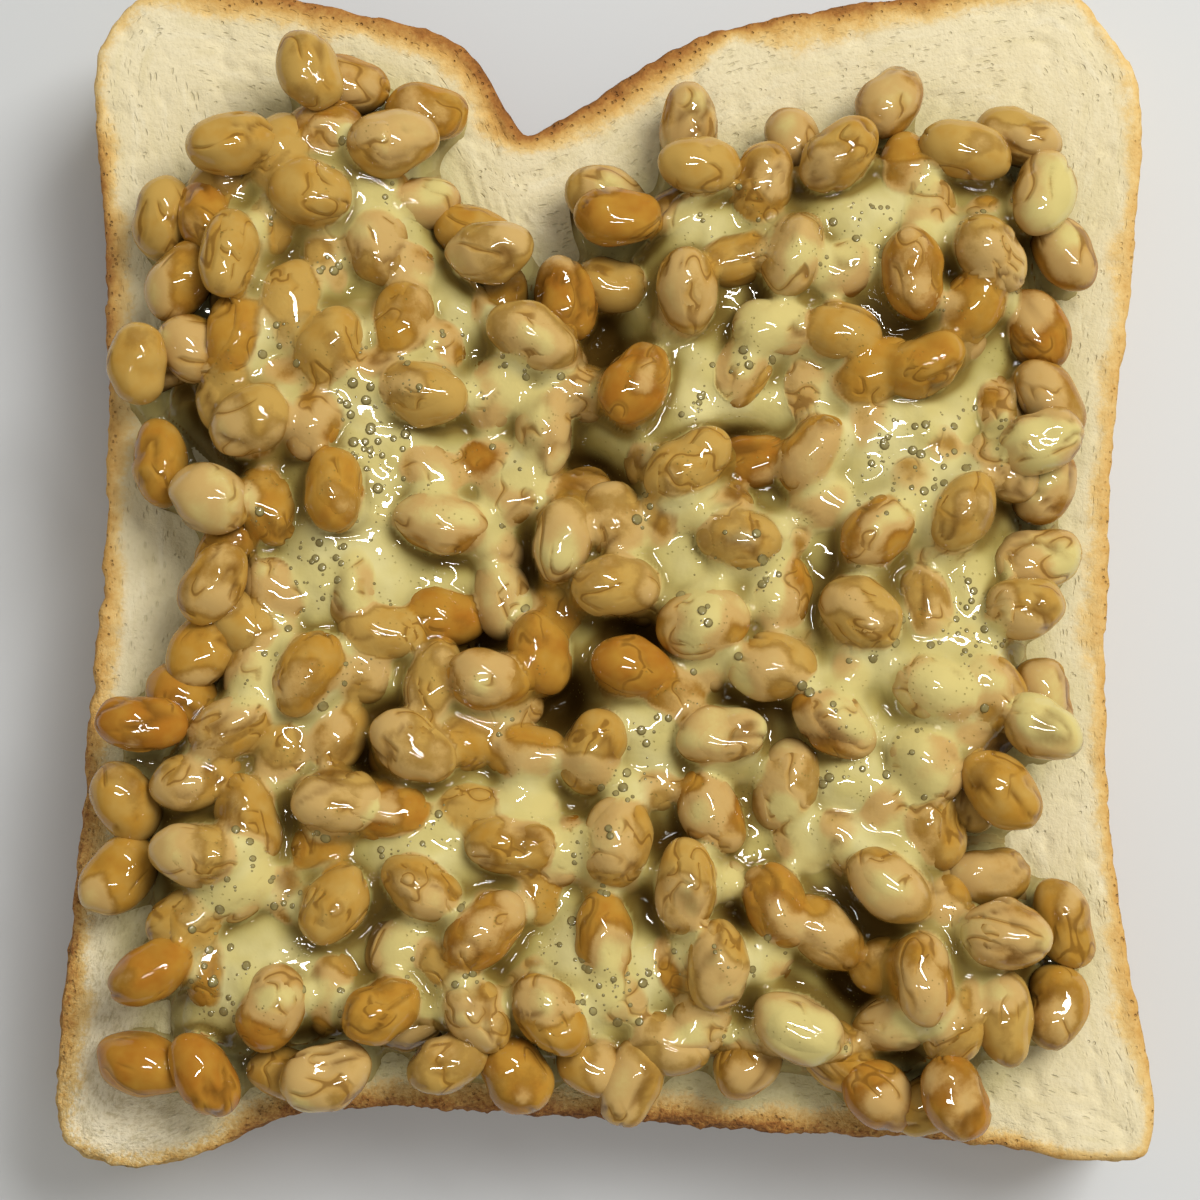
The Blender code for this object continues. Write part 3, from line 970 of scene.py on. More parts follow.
@dataclass
class SauceField:
    """The sauce's level over the slice, on an even raster that other pieces look up.

    Attributes:
        layout: the beans that the sauce hangs on.
        cell: the raster's spacing.
        bed_level: the sauce's level where nothing raises it.
        rim_taper: how fast it thins towards its outline.
        rim_inset: how far inside the outline it ends between the beans there.
        bare_rim: how far in the beans stand free of it.
        foot: how high it stands under the rim's beans.
        foot_slope: how far in from the beans' shared outline it reaches that height.
        foot_shares: the shares of beans round a place where the foot is sunk, just under and full.
        just_under: the level just under the bread's top face.
        pool_radius: the size of a pool.
        pool_rise: how much a pool is higher than the bed.
        hollow_radius: the size of a hollow.
        hollow_drop: how much a hollow is lower than the bed.
        lowest: the least level of sauce in a hollow.
        drape: how far the sauce that hangs over the beans is smoothed.
        sag: how far it lies under the beans' tops.
        sunk: the level it has outside its outline, inside the bread.
        surround: how wide a ring round a place says whether the place is a gap.
        close_by: the same for a crevice.
        cling: how softly it turns up the flank of a bean.
        cling_top: how far up a flank it turns.
        thinnest: how far under a bean's skin it ends up there.
        wander: the layers of noise by which its level strays.
        ripple: the layers of noise of its small ripples.
        margin: how far the raster reaches past the sauce's outline.
        skin_softness: how far the beans' tops are smoothed where sauce lies on them.
        relief: the beans' lumps and creases.
        low: the raster's first place.
        beans: the beans' tops.
        skin: the same, smoothed.
        tone: how red the skin is.
        film: how much cream lies on it.
        crease: where it is creased.
        level: the sauce's level.
        gap: the mean surface round each place.
        crevice: how far each place lies under what is close by.
        upright: the rise of the sauce's normal.
    """

    layout: HeapLayout
    cell: float = 0.3
    bed_level: float = 5.1
    rim_taper: float = 2.2
    rim_inset: float = 2.4
    bare_rim: float = 5.8
    foot: float = 1.5
    foot_slope: float = 1.4
    foot_shares: tuple[float, float, float] = (0.0, 0.45, 0.9)
    just_under: float = -0.4
    pool_radius: float = 5.5
    pool_rise: float = 2.9
    hollow_radius: float = 2.4
    hollow_drop: float = 6.0
    lowest: float = 0.9
    drape: float = 1.25
    sag: float = 0.12
    sunk: float = -2.5
    surround: float = 2.4
    close_by: float = 1.1
    cling: float = 0.8
    cling_top: float = 2.4
    thinnest: float = 0.12
    wander: tuple[Lump, ...] = ((0.7, 8.0, 3), (0.6, 3.5, 4))
    ripple: tuple[Lump, ...] = ((0.16, 2.3, 5), (0.07, 1.1, 6))
    margin: float = 8.0
    skin_softness: float = 0.4
    relief: BeanRelief = BeanRelief()
    low: Array = field(init=False)
    beans: Array = field(init=False)
    skin: Array = field(init=False)
    tone: Array = field(init=False)
    film: Array = field(init=False)
    crease: Array = field(init=False)
    level: Array = field(init=False)
    gap: Array = field(init=False)
    crevice: Array = field(init=False)
    upright: Array = field(init=False)

    def __post_init__(self) -> None:
        """Works out the raster."""
        self.low = self.layout.outline.min(axis=0) - self.margin
        high = self.layout.outline.max(axis=0) + self.margin
        columns, rows = np.ceil((high - self.low) / self.cell).astype(int) + 1
        x = self.low[0] + self.cell * np.arange(columns)
        y = self.low[1] + self.cell * np.arange(rows)
        grid = np.stack(np.meshgrid(x, y), axis=-1)
        self.beans, self.tone, self.film, self.crease = self.bean_tops(grid)
        self.skin = self.smoothed(self.beans, self.skin_softness)
        self.level = self.sauce_level(grid)
        top = np.maximum(self.level, self.beans)
        self.gap = self.smoothed(top, self.surround)
        self.crevice = np.clip(self.smoothed(top, self.close_by) - top, 0, 3)
        down, across = np.gradient(self.level, self.cell)
        self.upright = 1 / np.sqrt(1 + down**2 + across**2)

    def bean_tops(self, grid: Array) -> tuple[Array, Array, Array, Array]:
        """The highest bean surface over each place, and what the skin is like there.

        A plain bean is where the point's square form with the inverse of its turned, squared
        half sizes is under one. Its top is the larger root of that form taken as a quadratic in
        z. Its relief then lifts the top by the push along the ray, times the cosine between the
        ray and the surface's normal, over that normal's rise.

        Args:
            grid: places in the plane.

        Returns:
            The level (0 where there is no bean), the tone, the film and the crease.
        """
        shape = grid.shape[:2]
        rasters = [np.full(shape, value) for value in (0.0, 0.25, 0.35, 0.0)]
        layout = self.layout
        for number, (row, turn) in enumerate(zip(layout.rows, layout.turns())):
            half = row[6:9] / 2
            form = turn @ np.diag(1 / half**2) @ turn.T
            corner = ((row[:2] - half[0] - self.low) / self.cell).astype(int)
            last = corner + int(2 * half[0] / self.cell) + 2
            window = np.s_[max(corner[1], 0):last[1], max(corner[0], 0):last[0]]
            x, y = grid[window][..., 0] - row[0], grid[window][..., 1] - row[1]
            linear = form[0, 2] * x + form[1, 2] * y
            rest = form[0, 0] * x * x + 2 * form[0, 1] * x * y + form[1, 1] * y * y - 1
            under_root = linear**2 - form[2, 2] * rest
            z = (np.sqrt(np.clip(under_root, 0, None)) - linear) / form[2, 2]
            away = np.stack([x, y, z], axis=-1)
            push, groove = self.relief.push(away @ turn, np.full(x.shape, number), layout.dents[number])
            ray = away / np.linalg.norm(away, axis=-1, keepdims=True).clip(0.1)
            normal = away @ form
            normal /= np.linalg.norm(normal, axis=-1, keepdims=True).clip(1e-6)
            z = z + push * (ray * normal).sum(axis=-1) / normal[..., 2].clip(0.4) + row[2]
            higher = (under_root > 0) & (z > rasters[0][window])
            found = (z, layout.tones[number], layout.films[number], groove)
            for raster, value in zip(rasters, found):
                raster[window] = np.where(higher, value, raster[window])
        return tuple(rasters)

    def smoothed(self, raster: Array, width: float) -> Array:
        """The raster blurred by a bell curve of the given width, first along rows, then columns."""
        reach = int(np.ceil(3 * width / self.cell))
        bell = np.exp(-0.5 * (np.arange(-reach, reach + 1) * self.cell / width) ** 2)
        bell /= bell.sum()
        padded = np.pad(raster, reach, mode="edge")
        along = sum(w * padded[:, i:i + raster.shape[1]] for i, w in enumerate(bell))
        return sum(w * along[i:i + raster.shape[0]] for i, w in enumerate(bell))

    def sauce_level(self, grid: Array) -> Array:
        """The sauce's level: the softer maximum of its bed and of the sauce that hangs on beans.

        The bed is a constant plus pools minus hollows plus noise, times one minus e to minus the
        distance from the outline over the taper. What hangs on the beans is their tops, smoothed, less a
        sag that varies from place to place, and at the rim only a low foot under them is left.
        The sauce then turns softly up the flank of every bean, as the softer maximum of itself
        and the bean's skin. Small ripples lie over all of it.

        Args:
            grid: places in the plane.

        Returns:
            One level for each place.
        """
        flat = grid.reshape(-1, 2)
        shape = grid.shape[:2]
        within = inside(flat, self.layout.outline).reshape(shape)
        rim = distance_to(flat, even_curve(self.layout.outline, FINE_RIM)).reshape(shape)
        signed = np.where(within, rim, -rim)
        pools = mounds(flat, POOLS, self.pool_radius).reshape(shape)
        hollows = mounds(flat, HOLLOWS, self.hollow_radius).reshape(shape)
        wander = lumps(grid, *self.wander)
        bed = self.bed_level + self.pool_rise * pools - self.hollow_drop * hollows + 0.8 * wander
        near_rim = 1 - smooth_step(signed, self.rim_inset, self.bare_rim)
        signed = signed - self.rim_inset
        bed = soft_max(bed, np.full(shape, self.lowest), 0.6)
        bed = bed * (1 - np.exp(-np.clip(signed, 0, None) / self.rim_taper))
        bed = self.sunk + (bed - self.sunk) * smooth_step(signed, -1.0, 0.4)
        hung = self.smoothed(self.beans, self.drape)
        under = self.smoothed((self.beans > 0.5).astype(float), self.foot_slope)
        foot = np.interp(under, self.foot_shares, [self.sunk, self.just_under, self.foot])
        sag = self.sag + 0.75 * wander - 0.5 * pools + 3.5 * hollows
        hung = hung - np.clip(sag, -0.5, 6.0)
        hung = hung + (foot - hung) * near_rim
        level = soft_max(bed, hung, 0.5)
        climbed = np.minimum(self.skin - self.thinnest, level + self.cling_top * (1 - near_rim))
        climbed = soft_max(level, climbed, self.cling)
        level = level + (climbed - level) * smooth_step(level, -0.6, 0.8)
        calm = 0.3 + 0.7 * smooth_step(level - self.skin, 0.2, 1.4)
        return level + lumps(grid, *self.ripple) * (smooth_step(level, -0.5, 1.5) * calm)

    def depth(self, x: Array, y: Array, level: Array) -> Array:
        """How far a level lies below the mean surface round its place."""
        return self.look_up(self.gap, x, y) - level

    def look_up(self, raster: Array, x: Array, y: Array) -> Array:
        """The raster's value at any place, blended between the four nearest.

        Args:
            raster: one value for each raster place.
            x: places across.
            y: places along.

        Returns:
            One value for each place asked.
        """
        u = np.clip((x - self.low[0]) / self.cell, 0, raster.shape[1] - 1.001)
        v = np.clip((y - self.low[1]) / self.cell, 0, raster.shape[0] - 1.001)
        i, j = u.astype(int), v.astype(int)
        s, t = u - i, v - j
        lower = raster[j, i] * (1 - s) + raster[j, i + 1] * s
        upper = raster[j + 1, i] * (1 - s) + raster[j + 1, i + 1] * s
        return lower * (1 - t) + upper * t


class Edge(Enum):
    """How well baked the crust is at places round the slice: x, y and bake from 0 to 1."""

    LEFT_HUMP = (-38.0, 65.0, 0.72)
    LEFT_SHOULDER = (-57.0, 60.0, 0.22)
    LEFT_WAIST = (-57.0, 38.0, 0.66)
    LEFT_MIDDLE = (-57.0, 5.0, 0.48)
    LEFT_FOOT = (-60.0, -40.0, 0.62)
    BASE_CORNER = (-56.0, -66.0, 0.30)
    BASE_LEFT = (-30.0, -60.0, 0.70)
    BASE_MIDDLE = (5.0, -61.0, 0.78)
    BASE_RIGHT = (35.0, -63.0, 0.62)
    RIGHT_CORNER = (58.0, -65.0, 0.34)
    RIGHT_FOOT = (57.0, -42.0, 0.45)
    RIGHT_MIDDLE = (56.0, -5.0, 0.40)
    RIGHT_WAIST = (59.0, 35.0, 0.36)
    RIGHT_SHOULDER = (59.0, 60.0, 0.24)
    RIGHT_HUMP = (25.0, 64.0, 0.74)
    NOTCH = (-9.0, 50.0, 0.80)


@dataclass
class BreadSlice:
    """The slice as one closed surface, from the middle of its top round its crust to its base.

    Attributes:
        sauce: the sauce that soaks it.
        columns: points round the slice.
        thick: the slice's thickness.
        round_edge: the radius between a cut face and the crust.
        fine_width: how far in from the edge the fine rows run.
        fine_rows: rows over that width on top.
        middle_rows: rows from there to the middle.
        wall_rows: rows down the crust.
        crust_width: how far the crust's colour reaches into the crumb.
        torn_corner: the middle of the frayed corner.
        torn_reach: how far it is frayed round that place.
        torn_side: the x of the strip on the left that is frayed and crumbly.
        torn_width: how wide that strip is.
        soak_reach: how far the sauce soaks in past its outline.
        outline: the slice's outline.
    """

    sauce: SauceField
    columns: int = 900
    thick: float = SLICE_THICK
    round_edge: float = 1.1
    fine_width: float = 16.0
    fine_rows: int = 30
    middle_rows: int = 14
    wall_rows: int = 30
    crust_width: float = 2.3
    torn_corner: tuple[float, float] = (-56.0, -60.0)
    torn_reach: float = 15.0
    torn_side: float = -58.0
    torn_width: float = 5.5
    soak_reach: float = 2.6
    outline: Array = field(init=False)

    def __post_init__(self) -> None:
        """Draws the outline and centres it on the origin."""
        curve = closed_curve(SLICE_OUTLINE, 12)
        curve = curve - (curve.min(axis=0) + curve.max(axis=0)) / 2
        self.outline = even_curve(curve, self.columns)

    def profile(self) -> tuple[Array, Array, Array]:
        """The section from the top's middle to the base's middle.

        Returns:
            For each row: how far it is moved in along the outline's normal, how far it is then
            moved towards the middle (a share from 0 at the edge to 1 at the middle, after the
            fine width), and its height.
        """
        bend = np.linspace(0, np.pi / 2, 5)
        r = self.round_edge
        fine = np.linspace(0, 1, self.fine_rows)[1:]
        coarse = 1 + np.linspace(0, 1, self.middle_rows)[1:-1]
        face = np.concatenate([fine, coarse])
        down = np.linspace(self.thick - r, r, self.wall_rows)[1:-1]
        inset = np.concatenate([np.full(len(face), r), r * (1 - np.sin(bend)), np.zeros(len(down))])
        upper_edge = self.thick - r * (1 - np.cos(bend))
        height = np.concatenate([np.full(len(face), self.thick), upper_edge, down])
        inward = np.concatenate([face[::-1], np.zeros(len(bend) + len(down))])
        lower = np.concatenate([fine[::2], coarse[::2]])
        inset = np.concatenate([inset, r * (1 - np.cos(bend)), np.full(len(lower), r)])
        height = np.concatenate([height, r * (1 - np.sin(bend)), np.zeros(len(lower))])
        inward = np.concatenate([inward, np.zeros(len(bend)), lower])
        return inset, inward, height

    def surface(self) -> Shape:
        """The slice's points and faces.

        A row's point is the outline's, moved in by the inset, then along the ray to the middle
        by its inward value times the fine width, and past that by a share of what is left.

        Returns:
            The shape with its flat map and the values that its finish reads.
        """
        ahead, behind = np.roll(self.outline, -1, axis=0), np.roll(self.outline, 1, axis=0)
        tangent = (ahead - behind) / np.linalg.norm(ahead - behind, axis=1)[:, None]
        inward_normal = np.column_stack([-tangent[:, 1], tangent[:, 0]])
        inset, inward, height = self.profile()
        start = self.outline[None] + inset[:, None, None] * inward_normal[None]
        length = np.linalg.norm(start, axis=2, keepdims=True)
        near = np.clip(inward, 0, 1)[:, None, None] * self.fine_width
        far = np.clip(inward - 1, 0, 1)[:, None, None]
        flat = start / length * (length - near) * (1 - far)
        rows = len(height)
        every_height = np.repeat(height, self.columns)
        grid = np.column_stack([flat.reshape(-1, 2), every_height])
        grid = np.vstack([grid, [0, 0, self.thick], [0, 0, 0]])
        top, base = len(grid) - 2, len(grid) - 1
        faces = [
            grid_faces(rows, self.columns)[:, ::-1],
            fan_faces(top, 0, self.columns, True),
            fan_faces(base, (rows - 1) * self.columns, self.columns, False),
        ]
        shape = Shape(grid, faces)
        self.mark(shape, np.append(every_height, [self.thick, 0]))
        self.roughen(shape)
        return shape

    def mark(self, shape: Shape, height: Array) -> None:
        """Sets the values that the finish reads, from each point's place.

        Args:
            shape: the slice.
            height: each point's height before it is roughened.
        """
        flat = shape.points[:, :2]
        edge = distance_to(flat, self.outline)
        places = np.array([side.value for side in Edge])
        apart = np.linalg.norm(flat[:, None] - places[None, :, :2], axis=2)
        weight = 1 / (apart + 4.0) ** 4
        side_bake = (weight * places[:, 2]).sum(axis=1) / weight.sum(axis=1)
        wander = layered_noise(shape.points, 7.0, 11, 3)
        width = self.crust_width * (1 + 0.45 * wander) * (0.7 + 0.6 * side_bake)
        bake = side_bake * np.exp(-((edge / width) ** 2)) + 0.12 * np.exp(-edge / 3.0)
        wall = smooth_step(np.minimum(self.thick - height, height), 0.05, 1.2)
        bake = np.maximum(bake, wall * (side_bake * 1.05 + 0.14 + 0.12 * wander))
        signed = distance_to(flat, even_curve(self.sauce.layout.outline, FINE_RIM))
        signed = np.where(inside(flat, self.sauce.layout.outline), -signed, signed)
        soak = np.exp(-np.clip(signed - 0.5 + 1.5 * wander, 0, None) / self.soak_reach)
        on_top = (height > self.thick - 0.5).astype(float)
        corner = np.exp(-(np.linalg.norm(flat - self.torn_corner, axis=1) / self.torn_reach) ** 2)
        left_side = np.exp(-((flat[:, 0] - self.torn_side) / self.torn_width) ** 2)
        left_side = left_side * smooth_step(-flat[:, 1], -5, 25)
        foot = smooth_step(-flat[:, 1], 46, 58) * smooth_step(55 - flat[:, 0], 0, 20)
        crumbly = np.maximum(foot, 0.8 * left_side) * np.exp(-(edge / 3.5) ** 2)
        shape.values["bake"] = bake
        shape.values["crumbly"] = crumbly
        shape.values["damp"] = np.clip(soak * 0.85, 0, 1) * on_top
        shape.values["frayed"] = np.clip(1.1 * corner + 0.7 * left_side, 0, 1) * on_top
        span = np.linalg.norm(np.roll(self.outline, -1, axis=0) - self.outline, axis=1)
        along = np.cumsum(span) - span
        rows = (len(flat) - 2) // self.columns
        along = np.concatenate([np.tile(along, rows), [0, 0]])
        shape.way = np.column_stack([along, edge]) * MM
        shape.lap = span.sum() * MM
        shape.values["edge"] = np.exp(-((edge / 14.0) ** 2))

    def roughen(self, shape: Shape) -> None:
        """Moves each point along the way that its part of the slice faces.

        The cut faces get shallow pores, and the crust gets pits and ragged edges, both from
        layered noise. Points near the base only move up, so that the slice rests flat.

        Args:
            shape: the slice, whose points are moved.
        """
        points = shape.points
        flat = points[:, :2]
        edge = distance_to(flat, self.outline)
        crusty = smooth_step(shape.values["bake"], 0.15, 0.6)
        top_face = smooth_step(points[:, 2], self.thick - 0.6, self.thick)
        fluffy, crumbly = shape.values["frayed"], shape.values["crumbly"]
        pores = -smooth_step(layered_noise(points * [1, 1, 2], 1.6, 21, 2), 0.25, 0.9)
        hills = layered_noise(points, 6.0, 24, 3)
        fluff = 0.25 * fluffy + 0.22 * crumbly
        lift = top_face * (0.28 * pores + 0.10 * hills + fluff * layered_noise(points, 1.3, 27, 2))
        outward = flat / np.linalg.norm(flat, axis=1).clip(1e-6)[:, None]
        near_edge = np.exp(-(edge / 1.6) ** 2)
        ragged = near_edge * (0.10 + 0.24 * crusty) * layered_noise(points, 1.7, 31, 3)
        ragged += crumbly * near_edge * 0.30 * layered_noise(points, 1.1, 37, 2)
        sag = near_edge * 0.25 * lump_noise(points, 14.0, 35)
        shape.points[:, :2] += outward * (ragged + sag - 0.15 * near_edge)[:, None]
        shape.points[:, 2] += lift - 0.10 * top_face
        shape.points[:, 2] = np.clip(shape.points[:, 2], 0.0, None)

    def build(self, finish: BreadFinish) -> bpy.types.Object:
        """Makes the slice and sets it in place of the plain one.

        Args:
            finish: the bread's finish.

        Returns:
            The slice's object.
        """
        piece = self.surface().make("bread_slice_surface", finish.build())
        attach(piece, "root")
        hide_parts("bread_slice")
        return piece


class Layer(Enum):
    """The heap's layers of beans: the name of the piece, and its rows and columns a bean."""

    LOWER = ("bedded_beans", 20, 28)
    UPPER = ("crowning_beans", 27, 40)
    TUCKED = ("tucked_beans", 20, 28)


@dataclass
class Beans:
    """One layer of beans, each a lumpy, creased egg shape of its own, joined in one piece.

    Attributes:
        layout: where the beans lie.
        sauce: the sauce that they stand in.
    """

    layout: HeapLayout
    sauce: SauceField

    def unit(self, rows: int, columns: int) -> Array:
        """Points of a unit ball with its poles on the long axis: cosine of the latitude along it,
        sine times the cosine and sine of the turn across it.
        """
        latitude = np.linspace(0, np.pi, rows + 2)[1:-1, None]
        turn = np.linspace(0, 2 * np.pi, columns, endpoint=False)[None, :]
        along = np.cos(latitude) * np.ones_like(turn)
        off = np.sin(latitude)
        ball = np.stack([along, off * np.cos(turn), off * np.sin(turn)], axis=-1)
        return np.vstack([ball.reshape(-1, 3), [1, 0, 0], [-1, 0, 0]])

    def shape(self, numbers: Array, detail: tuple[int, int]) -> Shape:
        """All beans of one layer as one shape.

        A bean's point is its unit point times its half sizes, pushed out along its own ray by
        its relief, then turned and moved to its place.

        Args:
            numbers: which beans of the layout.
            detail: rows and columns of points on a bean.

        Returns:
            The shape with film, crease, tone, shade and own values.
        """
        rows, turns = self.layout.rows[numbers], self.layout.turns()[numbers]
        relief = self.sauce.relief
        ball = self.unit(*detail)
        own = ball[None] * rows[:, None, 6:9] / 2
        number = numbers[:, None] * np.ones(own.shape[:2])
        push, groove = relief.push(own, number, self.layout.dents[numbers][:, None])
        drawn_out = relief.drawn_out(own, number)
        own = own * (1 + push[..., None] / np.linalg.norm(own, axis=2, keepdims=True).clip(1))
        world = np.einsum("nij,npj->npi", turns, own) + rows[:, None, :3]
        normal = np.einsum("nij,npj->npi", turns, own / rows[:, None, 6:9] ** 2)
        upright = normal[..., 2] / np.linalg.norm(normal, axis=2)
        # Steep flanks carry less film and look darker: painted shade.
        film = self.layout.films[numbers][:, None] + relief.film_patches(world) - relief.flank_shade_loss(upright)
        # Painted shade: how far each point lies below the mean surface round it, which darkens it.
        shade = smooth_step(self.sauce.depth(*world.transpose(2, 0, 1)), 0.2, 3.8)
        world[..., 2] += SLICE_THICK
        per_bean = len(ball)
        faces = capped_faces(len(rows), *detail, (per_bean - 2, per_bean - 1))
        tone = np.repeat(self.layout.tones[numbers], per_bean)
        values = {
            "film": np.clip(film, 0, 1).ravel(), "crease": groove.ravel(),
            "tone": tone, "shade": shade.ravel(), "own": drawn_out.reshape(-1, 3) * MM,
        }
        return Shape(world.reshape(-1, 3), [group[:, ::-1] for group in faces], values)

    def build(self, finish: BeanFinish) -> list[bpy.types.Object]:
        """Makes every layer.

        Args:
            finish: the beans' finish.

        Returns:
            One object for each layer.
        """
        material = finish.build()
        low = self.layout.lower_count
        high = low + self.layout.upper_count
        numbers = np.arange(len(self.layout.rows))
        parts = ((Layer.LOWER, numbers[:low]), (Layer.TUCKED, numbers[high:]),
                 (Layer.UPPER, numbers[low:high]))
        made = []
        for layer, part in parts:
            name, *detail = layer.value
            piece = self.shape(part, tuple(detail)).make(name, material)
            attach(piece, "root")
            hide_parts("natto_heap")
            made.append(piece)
        return made


@dataclass
class Sauce:
    """The sauce as one closed surface: its level on a grid that fills the slice, over a flat base.

    Attributes:
        sauce: the sauce's level.
        bread: the slice that it lies in.
        columns: grid points across.
        rows: grid points along.
        inset: how far the grid's edge stays inside the slice's outline.
        reach: the grid's left and right edges.
        fade: how wide a strip along the grid's edge sinks into the slice.
    """

    sauce: SauceField
    bread: BreadSlice
    columns: int = 290
    rows: int = 325
    inset: float = 1.4
    reach: tuple[float, float] = (-54.4, 53.6)
    fade: float = 1.6

    def edge(self, x: Array, upper: bool) -> Array:
        """The slice's upper or lower outline over x, less the inset.

        Args:
            x: places across.
            upper: which of the two outlines.

        Returns:
            One y for each x.
        """
        curve = self.bread.outline
        part = curve[curve[:, 1] > 30] if upper else curve[curve[:, 1] < -30]
        near = np.abs(part[None, :, 0] - x[:, None]) < self.inset + 0.4
        side = -1 if upper else 1
        inner = np.where(near, part[None, :, 1] * side, -1e9).max(axis=1)
        return (inner + self.inset) * side

    def surface(self) -> Shape:
        """The sauce's points and faces.

        The grid runs evenly across from one reach to the other, and evenly along from the lower
        to the upper edge at each x. Its outermost points lie in the bread, all at one height, and
        one flat face with all of them as corners closes it.

        Returns:
            The shape with its cover, depth, layer, crevice and within values, and the film,
            tone and crease of the skin under it.
        """
        x = np.linspace(*self.reach, self.columns)
        low, high = self.edge(x, False), self.edge(x, True)
        share = np.linspace(0, 1, self.rows)[:, None]
        y = low[None] + (high - low)[None] * share
        x = np.broadcast_to(x[None], y.shape)
        sauce = self.sauce
        rasters = (sauce.level, sauce.skin, sauce.tone, sauce.film, sauce.crease, sauce.crevice)
        level, skin, tone, film, crease, crevice = (sauce.look_up(one, x, y) for one in rasters)
        depth = sauce.depth(x, y, level)
        cover = np.clip(level - skin, 0, 3) + 3 * smooth_step(skin - level, 0.8, 1.8)
        across = np.minimum(x - x[:, :1], x[:, -1:] - x)
        margin = np.minimum(np.minimum(y - low, high - y), across)
        sunk = sauce.sunk
        z = SLICE_THICK + sunk + (level - sunk) * smooth_step(margin, 0.0, self.fade)
        points = np.stack([x, y, z], axis=-1).reshape(-1, 3)
        index = np.arange(points.shape[0]).reshape(y.shape)
        loop = np.concatenate([index[0], index[1:, -1], index[-1, -2::-1], index[-2:0:-1, 0]])
        faces = [grid_faces(self.rows, self.columns, closed=False), loop[::-1][None]]
        upright = sauce.look_up(sauce.upright, x, y)
        film = film + sauce.relief.film_patches(np.stack([x, y, level], axis=-1))
        # Steep slopes show less film and look darker: painted shade.
        film = film + 0.9 * cover - sauce.relief.flank_shade_loss(upright)
        place = np.column_stack([x.ravel(), y.ravel()])
        rim = distance_to(place, even_curve(sauce.layout.outline, ROUGH_RIM))
        values = {
            "cover": cover.ravel(), "depth": depth.ravel(), "layer": level.ravel(),
            "film": np.clip(film, 0, 2).ravel(), "tone": tone.ravel(), "crease": crease.ravel(),
            "crevice": crevice.ravel(), "within": smooth_step(rim, 2.4, 6.0),
        }
        return Shape(points, faces, values)

    def build(self, finish: SauceFinish) -> bpy.types.Object:
        """Makes the sauce.

        Args:
            finish: the sauce's finish.

        Returns:
            The sauce's object.
        """
        piece = self.surface().make("mayonnaise_sauce", finish.build())
        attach(piece, "root")
        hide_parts("natto_heap")
        return piece


@dataclass
class Bubbles:
    """Air bubbles that stand in the sauce's surface, each a low dome.

    Attributes:
        sauce: the sauce's level.
        count: how many bubbles.
        sizes: the least and most radius.
        rise: a dome's height as a share of its radius.
        sides: points round a dome.
        rings: a dome's rings, as angles up from its widest one, in radians.
        rims: how dark each ring is, from 0 to 1.
        least_cover: the least sauce over a bean that carries a bubble.
        most_depth: the most that a bubble lies under what is round it.
        bare_rim: how far in from the sauce's outline there are none.
        seed: picks their places.
    """

    sauce: SauceField
    count: int = 760
    sizes: tuple[float, float] = (0.11, 0.62)
    rise: float = 0.38
    sides: int = 10
    rings: tuple[float, ...] = (-0.5, 0.0, 0.55, 1.05)
    rims: tuple[float, ...] = (1.0, 1.0, 0.75, 0.35)
    least_cover: float = 0.35
    most_depth: float = 0.8
    bare_rim: float = 1.5
    seed: int = 5

    def places(self) -> tuple[Array, Array]:
        """Random places in open sauce, clear of beans and hollows, and a radius for each.

        Returns:
            Places in the plane, and radii that are mostly small.
        """
        draw = np.random.default_rng(self.seed)
        outline = self.sauce.layout.outline
        tries = draw.uniform(outline.min(axis=0), outline.max(axis=0), (self.count * 12, 2))
        crowd = lump_noise(tries, 7.0, 9)
        cover = self.look(self.sauce.level, tries) - self.look(self.sauce.skin, tries)
        depth = self.look(self.sauce.gap, tries) - self.look(self.sauce.level, tries)
        fits = inside(tries, outline) & (cover > self.least_cover) & (crowd > -0.2)
        rim = distance_to(tries, even_curve(outline, ROUGH_RIM))
        fits &= (depth < self.most_depth) & (rim > self.bare_rim)
        chosen = tries[fits][:self.count]
        low, high = self.sizes
        return chosen, low + (high - low) * draw.uniform(0, 1, len(chosen)) ** 3.2

    def look(self, raster: Array, at: Array) -> Array:
        """A raster's value at places given as rows."""
        return self.sauce.look_up(raster, at[:, 0], at[:, 1])

    def surface(self) -> Shape:
        """All domes as one shape, each closed below by a ring that turns in under it.

        A dome's ring has the radius of its angle's cosine and the height of its sine, from just
        under the sauce to near the top, and the dome leans with the sauce's slope.

        Returns:
            The shape with its rim values.
        """
        at, radius = self.places()
        level = self.sauce.level
        steps = self.sauce.cell * np.eye(2)
        rises = [self.look(level, at + step) - self.look(level, at - step) for step in steps]
        slope = np.column_stack(rises) / (2 * self.sauce.cell)
        climb = np.array(self.rings)
        turn = np.linspace(0, 2 * np.pi, self.sides, endpoint=False)
        ring = np.cos(climb)[:, None, None] * np.column_stack([np.cos(turn), np.sin(turn)])
        flat = np.concatenate([ring.reshape(-1, 2), np.zeros((2, 2))])
        top, base = 1.0, self.rings[0]
        height = np.concatenate([np.repeat(np.sin(climb), self.sides), [top, base]]) * self.rise
        rim = np.concatenate([np.repeat(self.rims, self.sides), [0.0, 1.0]])
        away = flat[None] * radius[:, None, None]
        z = self.look(level, at)[:, None] + height[None] * radius[:, None]
        z = z + (away * slope[:, None]).sum(axis=2) + SLICE_THICK
        per_dome = len(flat)
        faces = capped_faces(len(at), len(climb), self.sides, (per_dome - 1, per_dome - 2))
        points = np.concatenate([at[:, None] + away, z[..., None]], axis=2).reshape(-1, 3)
        return Shape(points, faces, {"rim": np.tile(rim, len(at))})

    def build(self, finish: BubbleFinish) -> bpy.types.Object:
        """Makes the bubbles.

        Args:
            finish: the bubbles' finish.

        Returns:
            The bubbles' object.
        """
        piece = self.surface().make("sauce_bubbles", finish.build())
        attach(piece, "root")
        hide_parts("natto_heap")
        return piece


